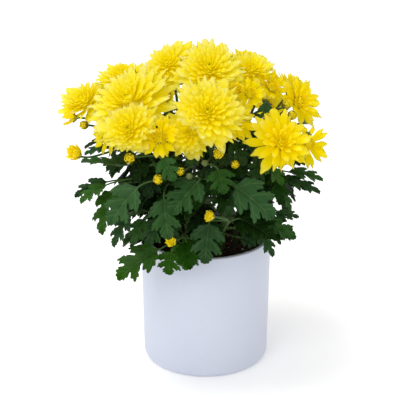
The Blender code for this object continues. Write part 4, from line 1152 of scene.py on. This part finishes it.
def fine_leaf(shape, plan, root, base, tip, width, roll, age, tone_and_painted_shade, rng):
    """A lobed blade with sunk veins above, raised ones below, on a channelled petiole."""
    flat, faces, edge, rib_gap, vein_gap = plan
    root, base, tip = (np.array(v) for v in (root, base, tip))
    s, w = flat.T
    out = np.abs(w)
    length = np.linalg.norm(tip - base)
    place, ahead, side, face = leaf_frame(base, tip, roll, s)
    arch = 0.215 * out - 0.195 * out * out
    pillow = 0.020 * smooth(np.minimum(rib_gap, vein_gap) / 0.075)
    groove = -0.012 * np.exp(-((rib_gap / 0.022) ** 2)) - 0.006 * np.exp(-((vein_gap / 0.018) ** 2))
    wave = 0.016 * out * np.sin(s * rng.uniform(11, 17) + rng.uniform(0, 6))
    wave *= np.sin(w * 4 + rng.uniform(0, 6))
    lift = (arch * width / 0.85 + pillow + groove + wave) * length
    surface = place + side * (w * width * length / 2)[:, None] + face * lift[:, None]
    is_edge = np.isin(np.arange(len(flat)), edge)
    rib = 0.95 * MM * np.exp(-((rib_gap / 0.020) ** 2)) * (1 - 0.75 * s)
    rib += 0.35 * MM * np.exp(-((vein_gap / 0.015) ** 2)) * (1 - 0.6 * out) * ~is_edge
    under = surface - face * (np.where(is_edge, 0.14 * MM, 0.34 * MM) + rib)[:, None]
    count = len(flat)
    tint = np.column_stack([np.tile(s, 2), np.full(2 * count, age), np.full(2 * count, tone_and_painted_shade)])
    spot = np.column_stack([np.tile(w * 0.5 + 0.5, 2), np.tile(s, 2)])
    sides = np.stack([edge[:, 1], edge[:, 0], edge[:, 0] + count, edge[:, 1] + count], -1)
    shape.add(np.concatenate([surface, under]), tint, spot, [faces, sides, faces[:, ::-1] + count],
              (LEAF_TOP, LEAF_TOP, LEAF_BACK))
    foot = np.argmin(s)
    petiole(shape, root, base, ahead[foot], face[foot], age, length, rng)


def petiole(shape, root, base, ahead, face, age, length, rng):
    """A leaf's stalk, thickest at the stem, which runs on a little way as the rib under the blade."""
    reach = np.linalg.norm(base - root)
    line = bezier(root, root + unit(base - root) * reach * 0.4, base - ahead * reach * 0.25, base, 9)
    line.append(base + ahead * 0.06 * length - face * 0.9 * MM)
    radii = np.interp(np.linspace(0, 1, len(line)), (0, 0.12, 0.5, 0.9, 1), (1.4, 0.85, 0.72, 0.8, 0.4)) * MM
    fine_tube(shape, line, radii, 8, (0.55, age, rng.random()))


# Stems.


def fine_tube(shape, line, radii, sides, tint, ribs=0.0):
    """A closed tube round a line. ribs raises five low ridges along it."""
    line = np.array([tuple(p) for p in line])
    count = len(line)
    tangents = unit(np.gradient(line, axis=0))
    across = unit(np.cross(tangents[0], [0.3, 0.5, 0.81]))
    turns = np.arange(sides) * 2 * math.pi / sides
    ring_shape = 1 + ribs * np.cos(5 * turns)
    rings = []
    for point, tangent, radius in zip(line, tangents, radii):
        across = unit(across - tangent * (across @ tangent))
        spokes = np.outer(np.cos(turns), across) + np.outer(np.sin(turns), np.cross(tangent, across))
        rings.append(point + spokes * (radius * ring_shape)[:, None])
    tints = np.broadcast_to(tint, (count, 3))
    tints = np.concatenate([np.repeat(tints, sides, 0), tints[:1], tints[-1:]])
    share = np.repeat(np.linspace(0, 1, count), sides)
    places = np.column_stack([np.tile(turns / (2 * math.pi), count), share])
    places = np.concatenate([places, [[0.5, 0], [0.5, 1]]])
    shape.add(np.concatenate([*rings, line[:1], line[-1:]]), tints, places, ring_faces(count, sides), STALK)


def bracts(shape, flower, rng):
    """The green cup under a flower, of small overlapping scales."""
    kind = flower.kind
    count = BRACTS_A_ROW * kind.bract_rows
    inward, same = np.linspace(0, 1, count), np.ones(count)
    reach = kind.bract_reach * flower.radius + BRACT_MARGIN
    p = {
        "inward": same * 0,
        "chance": rng.uniform(0, 1, count),
        "azimuth": np.arange(count) * GOLDEN_ANGLE + rng.normal(0, 4, count),
        "root_radius": same * flower.cup * 0.80,
        "root_height": -0.9 * MM + inward * 0.5 * MM,
        "rise": kind.bract_rise + rng.normal(0, 3, count) + inward * 4,
        "curl": (60 if flower.tight else 6) + rng.normal(0, 6, count),
        "length": reach * (0.62 + 0.38 * inward),
        "width": same * max(2.0 * MM, flower.cup * 0.85),
        "channel": same * 0.35,
        "point": same * 0.75,
        "sway": rng.normal(0, 0.03, count),
        "twist": rng.normal(0, 5, count),
        "curl_power": same,
        "thickness": same * BRACT_THICKNESS,
    }
    sheet_petals(shape, p, flower.seat, BRACT_GRID, BRACT)


def stem_hairs(shape, line, radius, count, rng):
    """Short fine hairs that stand off a stalk, each a slim three-sided spike."""
    line = np.array([tuple(p) for p in line])
    places = rng.uniform(0.04, 0.90, count) * (len(line) - 1)
    low = places.astype(int)
    run = line[low + 1] - line[low]
    middle = line[low] + run * (places - low)[:, None]
    tangent = unit(run)
    away = rng.normal(size=(count, 3))
    away = unit(away - tangent * (away * tangent).sum(1)[:, None])
    foot = middle + away * radius * 0.8
    tip = middle + away * (radius + rng.uniform(0.5, 1.1, count) * MM)[:, None] + tangent * 0.3 * MM
    corners = ring(HAIR_RADIUS, 0, 3)[:, :2] @ np.stack([tangent, np.cross(tangent, away)], 1)
    points = np.concatenate([foot[:, None] + corners, tip[:, None]], 1).reshape(-1, 3)
    shape.add(points, (0.9, 0.5, 0.5), MIDDLE, [repeated(HAIR_FACES, count, 4)], STALK)


def grow_plant(materials, bed):
    """The stems, their stalks, cups, leaves and hairs, one piece for each cutting."""
    rng = np.random.default_rng(LEAF_SEED)
    for name, node in frame["nodes"].items():
        if not name.startswith("leafy_stem"):
            points = [tuple(v.co) for v in node.data.vertices]
            bed.add(name, Solid(points, [tuple(f.vertices) for f in node.data.polygons]))
    shapes = {name: Shape() for name in CUTTINGS}
    hairs = {name: [] for name in CUTTINGS}

    def grow_stalk(cutting, line, fine, low, high, flower, sides, tint, hair_count):
        shape = shapes[cutting]
        bed.add(stem_node(cutting), tube(*stalk_rings(line, low, high, flower, PLAIN_SWELL), sides))
        rings = stalk_rings(fine, low, high, flower, FINE_SWELL, least=1.5)
        fine_tube(shape, *rings, 10, tint, ribs=0.05)
        hairs[cutting].append((line, low, hair_count))
        if flower.name in GREEN_BUDS:
            tint = (0.8, 0.6, 0.5)
            turned_solid(shape, CORES["green"], CORE_SIDES, tint, flower.seat, flower.radius, BRACT)
        bracts(shape, flower, rng)

    for name in CUTTINGS:
        line = stem_line(name)
        bed.add(stem_node(name), tube(line, [STEM_RADIUS] * 3 + [STEM_RADIUS * 0.85], 6))
        share = np.linspace(0, 1, STEM_RINGS)
        radii = np.interp(share, (0, 0.9, 1), (1, 0.92, 0.72)) * STEM_RADIUS
        tints = np.column_stack([0.1 + 0.4 * share, 0 * share + 0.3, 0 * share + 0.5])
        fine_tube(shapes[name], thinned(line, STEM_RINGS), radii, 15, tints, ribs=0.06)
        hairs[name].append((line, STEM_RADIUS, STEM_HAIRS))
    lines, side_lines = [], []
    for shoot in SHOOTS:
        cutting, flower = shoot.cutting, FLOWERS[shoot.terminal]
        line = shoot_line(shoot)
        lines.append((cutting, line))
        low = SHOOT_RADIUS * (0.8 if flower.diameter < 20 else 1)
        fine = shoot_line(shoot, 26)
        grow_stalk(cutting, line, fine, low, STALK_RADIUS, flower, 4, (0.6, 0.5, 0.5), SHOOT_HAIRS)
        for name, share in shoot.side_stalks:
            flower = FLOWERS[name]
            side, fine = side_line(line, share, flower), side_line(line, share, flower, 16)
            side_lines.append((cutting, side))
            low, high = STALK_RADIUS, STALK_RADIUS * 0.85
            grow_stalk(cutting, side, fine, low, high, flower, 3, (0.7, 0.6, 0.5), SIDE_HAIRS)
    plans = [leaf_plan(seed) for seed in (1, 2, 3, 4)]
    for cutting, root, base, tip, width, roll, age in placed_leaves(bed, lines, side_lines):
        # Each leaf gets a random tone. Filler leaves deep in the bush, and shown leaves of age 0 under the
        # blooms, are made darker as painted shade.
        tone_and_painted_shade = rng.uniform(0.40, 1)
        if age is None:
            age = min(max(rng.normal(0.72 if base.z < FORK_HEIGHT else 0.28, 0.20), 0), 1)
            tone_and_painted_shade -= 0.60
        elif age == 0:
            tone_and_painted_shade -= 0.40
        plan = plans[rng.integers(4)]
        fine_leaf(shapes[cutting], plan, root, base, tip, width, roll, age, tone_and_painted_shade, rng)
    for name, shape in shapes.items():
        for line, radius, count in hairs[name]:
            stem_hairs(shape, line, radius, count, rng)
        shape.piece("fine_" + stem_node(name), materials, stem_node(name), slot="leaf_green", sharp=60)
    return [line for _, line in lines + side_lines]


# The pot, the soil and the tie.


def arc(x, z, radius, start, end, step):
    """Points of a profile on part of a circle, from one angle to another in degrees."""
    turns = [math.radians(d) for d in range(start, end + 1, step)]
    return [(x + radius * math.cos(a), z + radius * math.sin(a)) for a in turns]


def fine_pot(material):
    """The pot as it is turned, with a round lip and a round foot."""
    r_top, r_base = POT_DIAMETER / 2, POT_BASE_DIAMETER / 2
    inner_top, inner_base = r_top - POT_WALL, r_base - POT_WALL
    foot, lip = POT_BASE_ROUND, POT_LIP_ROUND
    wall, height = r_top - r_base, POT_HEIGHT - foot
    outside = [(r_base + wall * share, foot + height * share) for share in (0.25, 0.5, 0.75)]
    inside_foot = [(inner_base, POT_FLOOR + 4 * MM), (inner_base - 4 * MM, POT_FLOOR), (0, POT_FLOOR)]
    profile = [(0, 0), *arc(r_base - foot, foot, foot, -90, 0, 10), *outside]
    profile += arc(r_top - lip, POT_HEIGHT - lip, lip, 0, 90, 15)
    profile += arc(inner_top + lip, POT_HEIGHT - lip, lip, 90, 180, 15)
    shape = Shape()
    turned_solid(shape, profile + inside_foot, POT_SIDES, PLAIN_TINT)
    shape.piece("fine_pot", [material], "pot", slot="glazed_pot", sharp=40)


def fine_soil(material):
    """The soil: a crumbly mound with a hole round each stem, and loose crumbs on it."""
    rng = np.random.default_rng(SOIL_SEED)
    inner = POT_BASE_DIAMETER / 2 - POT_WALL - TOUCH_GAP * 2
    floor = POT_FLOOR + TOUCH_GAP
    rings = [ring(inner - 5 * MM, floor, SOIL_SIDES), ring(inner, floor + 5 * MM, SOIL_SIDES)]
    rings.append(ring(inner, soil_level(), SOIL_SIDES))
    for share in np.linspace(0.97, 0.04, 26):
        level = ring(inner * share, soil_level() + SOIL_MOUND * (1 - share * share), SOIL_SIDES)
        level[:, 2] += lumps(level[:, 0], level[:, 1], rng)
        rings.append(level)
    shape = Shape()
    points = np.concatenate([*rings, [[0, 0, floor], rings[-1].mean(0)]])
    shape.add(points, (0.3, 0.0, 0.5), MIDDLE, ring_faces(len(rings), SOIL_SIDES))
    cut_holes(shape.piece("fine_soil", [material], "soil", slot="soil", sharp=50))
    soil_crumbs(inner, material, rng)


def lumps(x, y, rng):
    """A rough height over the soil, with waves that are the same for the same place."""
    height = 0.9 * MM * np.sin(x / MM * 0.41 + 1.3) * np.sin(y / MM * 0.37)
    height += 0.5 * MM * np.sin(x / MM * 1.1 + y / MM * 0.7) * np.sin(y / MM * 1.3 - x / MM * 0.4 + 2)
    return height + rng.uniform(-0.35, 0.35, len(x)) * MM


def soil_crumbs(inner, material, rng):
    """Loose crumbs of soil on the mound, clear of the stems, a few of them pale."""
    ball = bmesh.new()
    bmesh.ops.create_icosphere(ball, subdivisions=1, radius=1)
    points = np.array([v.co for v in ball.verts])
    faces = np.array([[v.index for v in f.verts] for f in ball.faces])
    ball.free()
    crumbs = Shape()
    for _ in range(CRUMBS):
        radius, turn = inner * math.sqrt(rng.uniform(0, 0.93)), rng.uniform(0, 2 * math.pi)
        place = Vector((radius * math.cos(turn), radius * math.sin(turn), 0))
        size = rng.uniform(0.5, 1.9) * MM
        if min((place - cutting_foot(name)).length for name in CUTTINGS) < STEM_RADIUS + size + 1 * MM:
            continue
        place.z = soil_level() + SOIL_MOUND * (1 - (radius / inner) ** 2) + size * 0.35
        stretch = rng.uniform(0.55, 1.25, (1, 3)) * size
        lump = points * stretch * rng.uniform(0.8, 1.2, (len(points), 1))
        pale = 1.0 if rng.random() < 0.05 else rng.uniform(0, 0.5)
        crumbs.add(lump + np.array(place), (rng.random(), pale, rng.random()), MIDDLE, [faces])
    crumbs.piece("soil_crumbs", [material], slot="soil")


def cut_holes(soil):
    """A plain hole for each cutting's stem, as in the plain soil."""
    holes = bpy.data.collections.new("stem_holes")
    bpy.context.scene.collection.children.link(holes)
    for name in CUTTINGS:
        foot = cutting_foot(name)
        low, high = soil_level() - CUTTING_DEPTH - TOUCH_GAP, soil_level() + 20 * MM
        ends = [foot + Vector((0, 0, height)) for height in (low, high)]
        hole = tube(ends, [STEM_RADIUS * 1.08 + 2 * TOUCH_GAP] * 2, 20)
        mesh = bpy.data.meshes.new("hole_" + name)
        mesh.from_pydata(hole.points, [], hole.faces)
        holes.objects.link(bpy.data.objects.new("hole_" + name, mesh))
    modifier = soil.modifiers.new("holes", "BOOLEAN")
    modifier.operation = "DIFFERENCE"
    modifier.operand_type = "COLLECTION"
    modifier.collection = holes
    modifier.solver = "MANIFOLD"
    bpy.context.view_layer.update()
    mesh = bpy.data.meshes.new_from_object(soil.evaluated_get(bpy.context.evaluated_depsgraph_get()))
    soil.modifiers.clear()
    soil.data = mesh
    for hole in list(holes.objects):
        bpy.data.objects.remove(hole)
    bpy.data.collections.remove(holes)


def fine_tie(lines, material):
    """The tie as a smooth round cord."""
    path = [np.array(p) for p in tie_path(lines)]
    dense = []
    for a, b in zip(path, path[1:] + path[:1]):
        steps = max(1, int(np.linalg.norm(b - a) / TIE_STEP))
        dense += [a + (b - a) * k / steps for k in range(steps)]
    line = np.array(dense)
    for _ in range(2):
        line = line * 0.5 + (np.roll(line, 1, 0) + np.roll(line, -1, 0)) * 0.25
    tangent = unit(np.roll(line, -1, 0) - np.roll(line, 1, 0))
    across = unit(np.cross([0, 0, 1.0], tangent))
    spokes = ring(TIE_RADIUS, 0, TIE_SIDES)[:, :2] @ np.stack([across, np.cross(tangent, across)], 1)
    count = len(line)
    faces = np.roll(grid_faces(count + 1, TIE_SIDES, True)[:, ::-1], 1, 1) % (count * TIE_SIDES)
    places = [np.tile(np.arange(TIE_SIDES) / TIE_SIDES, count), np.repeat(np.arange(count) * 4.0, TIE_SIDES)]
    shape = Shape()
    shape.add((line[:, None] + spokes).reshape(-1, 3), PLAIN_TINT, np.column_stack(places), [faces])
    shape.piece("fine_tie", [material], "tie", slot="tie_green")


# Materials.


class Value:
    """A number or a colour in a material's node tree. A sum, product or the like of it adds a node for it."""

    def __init__(self, nodes, socket):
        self.nodes, self.socket = nodes, socket

    def math(self, operation, *inputs):
        return self.nodes.add("Math", *inputs, operation=operation)

    def __add__(self, other):
        return self.math("ADD", self, other)

    def __sub__(self, other):
        return self.math("SUBTRACT", self, other)

    def __rsub__(self, other):
        return self.math("SUBTRACT", other, self)

    def __mul__(self, other):
        return self.math("MULTIPLY", self, other)

    def __truediv__(self, other):
        return self.math("DIVIDE", self, other)

    def __gt__(self, other):
        return self.math("GREATER_THAN", self, other)

    def __abs__(self):
        return self.math("ABSOLUTE", self)

    def or_more(self, other):
        return self.math("MAXIMUM", self, other)

    def or_less(self, other):
        return self.math("MINIMUM", self, other)


class Nodes:
    """A material's node tree, with a short way to add and join nodes."""

    def __init__(self, name, roughness, **fixed):
        self.material = bpy.data.materials.new(name)
        self.material.use_nodes = True
        self.tree = self.material.node_tree
        self.shader = self.tree.nodes["Principled BSDF"]
        self.set(Roughness=roughness, **fixed)

    def set(self, **sockets):
        """Sets or joins sockets of the shader, named with _ for each space."""
        for name, value in sockets.items():
            self.put(self.shader.inputs[name.replace("_", " ")], value)

    def put(self, socket, value):
        """Joins a value to a socket, or sets it to a number or to a colour of three."""
        if isinstance(value, Value):
            self.tree.links.new(value.socket, socket)
        else:
            socket.default_value = (*value, 1) if isinstance(value, tuple) else value

    def node(self, kind, inputs, **settings):
        """A node of a kind, with its inputs by number, name or identifier and its settings."""
        node = self.tree.nodes.new("ShaderNode" + kind)
        for name, value in settings.items():
            setattr(node, name, value)
        for key, value in inputs.items():
            self.put(node.inputs[key], value)
        return node

    def add(self, kind, *inputs, out=0, **settings):
        """One of the outputs of a new node, whose first inputs are given."""
        return Value(self, self.node(kind, dict(enumerate(inputs)), **settings).outputs[out])

    def mix(self, share, a, b):
        """A colour between a and b."""
        return Value(self, self.node("Mix", {0: share, 6: a, 7: b}, data_type="RGBA").outputs[2])

    def ramp(self, value, *stops):
        """A value that follows straight lines between (position, value) pairs."""
        node = self.node("ValToRGB", {0: value})
        ramp = node.color_ramp
        while len(ramp.elements) < len(stops):
            ramp.elements.new(0.5)
        for element, (place, level) in zip(ramp.elements, stops):
            element.position = place
            element.color = (level, level, level, 1)
        return Value(self, node.outputs[0])

    def noise(self, scale, detail=3.0, place=None):
        """Noise in the object's own space, or at another place."""
        place = place or self.add("TexCoord", out=3)
        noise = self.node("TexNoise", {"Vector": place, "Scale": scale, "Detail": detail})
        return Value(self, noise.outputs["Fac"])

    def tint(self):
        """The three numbers that each point of a fine mesh carries."""
        colour = self.add("Attribute", attribute_name="tint", attribute_type="GEOMETRY")
        return [Value(self, socket) for socket in self.node("SeparateColor", {0: colour}).outputs]

    def pattern(self):
        """The place across and along a petal, a leaf or a stalk."""
        place = self.add("UVMap", uv_map="pattern")
        return [Value(self, socket) for socket in self.node("SeparateXYZ", {0: place}).outputs[:2]]

    def bump(self, height, strength, distance):
        bump = self.node("Bump", {"Strength": strength, "Distance": distance, "Height": height})
        self.set(Normal=Value(self, bump.outputs[0]))

    def let_light_through(self, colour, share):
        """Mixes in light that comes from behind the sheet."""
        behind = self.add("BsdfTranslucent", colour)
        mixed = self.add("MixShader", share, Value(self, self.shader.outputs[0]), behind)
        self.put(self.tree.nodes["Material Output"].inputs[0], mixed)


def petal_material():
    # The petals glow faintly in yellow: painted light that lifts their shaded hollows.
    n = Nodes("petal", 0.65, Specular_IOR_Level=0.03, Emission_Color=(1.0, 0.90, 0.0), Emission_Strength=0.13)
    along_it, inward, chance = n.tint()
    place, _ = n.pattern()
    under = place > UNDERSIDE - 0.25
    across = place - under * UNDERSIDE
    # root is highest at each petal's root, where the painted shade of the overlapping petals goes.
    root = n.ramp(along_it, (0.0, 1.0), (0.40, 0.75), (0.80, 0.0))
    heart = n.ramp(inward, (0.30, 0.0), (0.75, 0.6), (1.0, 1.0))
    tip = n.ramp(along_it, (0.58, 0.0), (0.97, 1.0))
    margin = n.ramp(abs(across - 0.5), (0.30, 0.0), (0.5, 1.0))
    deep_flower = chance > DEEP
    chance = (chance - deep_flower * DEEP) * 2.0
    body = n.mix(chance, (0.945, 0.875, 0.0), (0.945, 0.915, 0.0))
    body = n.mix(deep_flower * 0.6, body, (0.99, 0.845, 0.0))
    # Pale tips and a paler under side, and pale margins that are a painted highlight along the petals' edges.
    pale_and_painted_highlight = tip.or_more(margin * 0.2).or_more(under * 0.4) * (chance * 0.9 + 0.35)
    pale_and_painted_highlight = pale_and_painted_highlight * (1.0 - heart * 0.8) * (1.0 - deep_flower * 0.65)
    colour = n.mix(pale_and_painted_highlight, body, (0.94, 0.90, 0.42))
    colour = n.mix(heart * 0.5, colour, (1.0, 0.90, 0.0))
    # Deeper gold towards each petal's root: painted shade where the petals overlap.
    colour = n.mix(root * 0.55, colour, (1.0, 0.87, 0.0))
    eye = n.ramp(inward, (0.955, 0.0), (1.0, 1.0)) * n.ramp(along_it, (0.35, 0.8), (1.0, 0.35))
    colour = n.mix(eye, colour, (0.74, 0.76, 0.0))
    streak = n.noise(1.0, 2.0, n.add("CombineXYZ", across * 26.0, along_it * 1.6, chance * 40.0))
    colour = n.mix(n.ramp(streak, (0.35, 0.0), (0.65, 1.0)) * 0.22, colour, (0.96, 0.84, 0.0))
    # A bud's core is painted dark brown: painted shade seen between its petals.
    colour = n.mix(inward > PAINTED_SHADE_MARK - 0.5, colour, (0.20, 0.12, 0.0))
    n.set(Base_Color=colour)
    n.bump(streak, 0.50, 0.0006)
    n.let_light_through(colour, 0.63)
    return n.material


def vein_gap(out, share):
    """How far a place on a leaf is from the nearest side vein, in leaf lengths."""
    gap = None
    for (s0, w0), (s1, w1) in SIDE_VEINS:
        start, end = Vector((w0 * LEAF_ASPECT, s0)), Vector((w1 * LEAF_ASPECT, s1))
        long = (end - start).length
        way = (end - start) / long
        dx, dy = out - start.x, share - start.y
        ahead, aside = dx * way.x + dy * way.y, abs(dx * way.y - dy * way.x)
        past = (ahead * -1.0).or_more(ahead - long).or_more(0.0)
        one = aside + past + (BRANCH_THINNER if w0 else 0.0)
        gap = gap.or_less(one) if gap else one
    return gap


def leaf_material(under):
    n = Nodes("leaf_under" if under else "leaf_upper", 0.62 if under else 0.48,
              Sheen_Weight=0.04 if under else 0.0, Sheen_Roughness=0.5, Specular_IOR_Level=0.04)
    # The third number of a leaf's tint is its tone. It is lowered as painted shade for leaves deep in the
    # bush and under the blooms, and it darkens the upper and the under side.
    _, age, chance = n.tint()
    across, share = n.pattern()
    out = abs(across - 0.5) * (2 * LEAF_ASPECT)
    rib = n.ramp(out / (1.3 - share), (0.0, 1.0), (0.0085, 0.8), (0.017, 0.0))
    side = n.ramp(vein_gap(out, share), (0.0, 1.0), (0.0055, 0.6), (0.012, 0.10), (0.026, 0.0))
    vein = rib.or_more(side * 0.55)
    place = n.add("CombineXYZ", across, share * 1.2, chance * 9.0)
    cells = n.node("TexVoronoi", {"Vector": place, "Scale": 17.0}, feature="DISTANCE_TO_EDGE")
    cell = Value(n, cells.outputs["Distance"])
    net = n.ramp(cell, (0.0, 1.0), (0.09, 0.0))
    patch = n.ramp(n.noise(55.0), (0.35, 0.0), (0.7, 1.0))
    if under:
        colour = n.mix(chance, (0.018, 0.040, 0.010), (0.105, 0.155, 0.080))
        colour = n.mix(age * 0.5, colour, (0.10, 0.17, 0.035))
        colour = n.mix(vein * (chance * 0.75), colour, (0.20, 0.28, 0.13))
        colour = n.mix(net * (chance * 0.25), colour, (0.16, 0.22, 0.11))
    else:
        dark = n.mix(chance, (0.0016, 0.0080, 0.0004), (0.0390, 0.104, 0.0390))
        light = n.mix(chance, (0.0090, 0.050, 0.0001), (0.0360, 0.132, 0.0010))
        colour = n.mix(patch * (chance * 0.35), n.mix(age, dark, light), (0.0100, 0.042, 0.0080))
        # A pale grey-green painted sheen in patches on the upper side, stronger on lighter leaves.
        painted_sheen = n.ramp(n.noise(24.0, 2.0), (0.50, 0.0), (0.72, 1.0))
        colour = n.mix(painted_sheen * (chance * 0.45), colour, (0.085, 0.135, 0.082))
        colour = n.mix(vein * (chance * 0.5 + 0.25), colour, (0.120, 0.225, 0.070))
        colour = n.mix(net * 0.12, colour, (0.030, 0.095, 0.018))
    n.set(Base_Color=colour, Roughness=patch * 0.12 + (0.58 if under else 0.42))
    height = cell * 1.2 - vein * 0.6
    n.bump(height * -1.0 if under else height, 0.45, 0.0008)
    n.let_light_through(n.mix(0.5, colour, (0.05, 0.16, 0.004)), 0.12)
    return n.material


def stem_material():
    n = Nodes("stalk", 0.5, Sheen_Weight=0.05, Specular_IOR_Level=0.2)
    high, age, chance = n.tint()
    across, share = n.pattern()
    green = n.mix(age, (0.040, 0.095, 0.016), (0.060, 0.140, 0.022))
    colour = n.mix(n.ramp(high, (0.08, 1.0), (0.42, 0.0)), green, (0.070, 0.070, 0.030))
    streak = n.noise(1.0, 3.0, n.add("CombineXYZ", across * 14.0, share * 3.0, chance))
    n.set(Base_Color=n.mix(n.ramp(streak, (0.4, 0.0), (0.65, 1.0)) * 0.5, colour, (0.024, 0.062, 0.010)))
    n.bump(streak, 0.4, 0.0005)
    return n.material


def bract_material():
    n = Nodes("bract", 0.55, Sheen_Weight=0.05, Specular_IOR_Level=0.2)
    along_it, _, chance = n.tint()
    across, _ = n.pattern()
    colour = n.mix(chance, (0.045, 0.095, 0.020), (0.075, 0.135, 0.035))
    edge = n.ramp(abs(across - 0.5), (0.34, 0.0), (0.5, 1.0))
    colour = n.mix(edge * 0.7, colour, (0.19, 0.22, 0.09))
    n.set(Base_Color=n.mix(n.ramp(along_it, (0.75, 0.0), (1.0, 0.8)), colour, (0.34, 0.30, 0.10)))
    n.bump(n.noise(900.0), 0.3, 0.0003)
    return n.material


def pot_material():
    n = Nodes("white_glaze", 0.48, Coat_Weight=0.08, Coat_Roughness=0.35, Specular_IOR_Level=0.4)
    patch = n.ramp(n.noise(14.0, 4.0), (0.3, 0.0), (0.7, 1.0))
    fine = n.noise(700.0, 2.0)
    speck = n.ramp(n.noise(260.0, 1.0), (0.73, 0.0), (0.76, 1.0))
    colour = n.mix(patch, (0.567, 0.599, 0.709), (0.582, 0.613, 0.720))
    n.set(Base_Color=n.mix(speck * 0.25, colour, (0.45, 0.45, 0.47)), Roughness=fine * 0.10 + 0.44)
    n.bump(fine * 0.25 + n.noise(60.0, 2.0), 0.10, 0.0006)
    return n.material


def soil_material():
    n = Nodes("potting_soil", 0.95, Specular_IOR_Level=0.15)
    chance, pale, _ = n.tint()
    grain = n.noise(520.0, 5.0)
    colour = n.mix(grain, (0.010, 0.007, 0.005), (0.050, 0.034, 0.022))
    colour = n.mix(chance * 0.5, colour, (0.045, 0.026, 0.014))
    n.set(Base_Color=n.mix(n.ramp(pale, (0.90, 0.0), (0.95, 1.0)), colour, (0.55, 0.52, 0.46)))
    n.bump(grain, 0.8, 0.0015)
    return n.material


def tie_material():
    n = Nodes("tie_coat", 0.45, Specular_IOR_Level=0.5)
    across, share = n.pattern()
    n.set(Base_Color=n.mix(n.noise(300.0), (0.010, 0.050, 0.062), (0.016, 0.080, 0.090)))
    n.bump(n.add("Math", (across + share) * 6.2832, operation="SINE"), 0.35, 0.0003)
    return n.material


# The studio.


def studio():
    """A plain pale floor, soft light from the upper left and the camera."""
    mesh = bpy.data.meshes.new("floor")
    mesh.from_pydata([(-4, -3, 0), (4, -3, 0), (4, 6, 0), (-4, 6, 0)], [], [(0, 1, 2, 3)])
    floor = bpy.data.objects.new("floor", mesh)
    bpy.context.scene.collection.objects.link(floor)
    n = Nodes("pale_floor", 0.9, Specular_IOR_Level=0.0, Base_Color=FLOOR_COLOUR,
              Emission_Color=(1.0, 1.0, 1.0), Emission_Strength=FLOOR_GLOW)
    mesh.materials.append(n.material)

    world = bpy.data.worlds.new("studio")
    bpy.context.scene.world = world
    world.use_nodes = True
    background = world.node_tree.nodes["Background"]
    background.inputs["Color"].default_value = (1.0, 1.0, 1.0, 1)
    background.inputs["Strength"].default_value = WORLD_STRENGTH
    for name, place, size, power in SOFT_LIGHTS:
        soft_light(name, place, size, power)

    camera = bpy.data.objects.new("camera", bpy.data.cameras.new("camera"))
    bpy.context.scene.collection.objects.link(camera)
    camera.location = CAMERA_PLACE
    camera.rotation_euler = [math.radians(turn) for turn in CAMERA_TURN]
    camera.data.sensor_width = 36
    camera.data.sensor_fit = "HORIZONTAL"
    camera.data.lens = CAMERA_LENS
    bpy.context.scene.camera = camera
    bpy.context.scene.view_settings.view_transform = "Standard"


def soft_light(name, place, size, power):
    """A round soft light that points at the middle of the plant."""
    light = bpy.data.lights.new(name, "AREA")
    light.shape = "DISK"
    light.size = size
    light.energy = power
    obj = bpy.data.objects.new(name, light)
    bpy.context.scene.collection.objects.link(obj)
    obj.location = place
    obj.rotation_euler = (Vector((0, 0, LIT_HEIGHT)) - Vector(place)).to_track_quat("-Z", "Y").to_euler()


def main():
    petal = petal_material()
    green = [leaf_material(False), leaf_material(True), stem_material(), bract_material()]
    rng = np.random.default_rng(PETAL_SEED)
    bed = Bed()
    for name in sorted(BLOOMS, key=lambda name: name not in FIRST_GROWN):
        node = name if name.startswith("bud") else "bloom_" + name
        grow_bloom(FLOWERS[name], bed, rng).piece("fine_" + node, [petal], node, slot="petal_yellow")
    lines = grow_plant(green, bed)
    fine_pot(pot_material())
    fine_soil(soil_material())
    fine_tie(lines, tie_material())
    studio()


main()
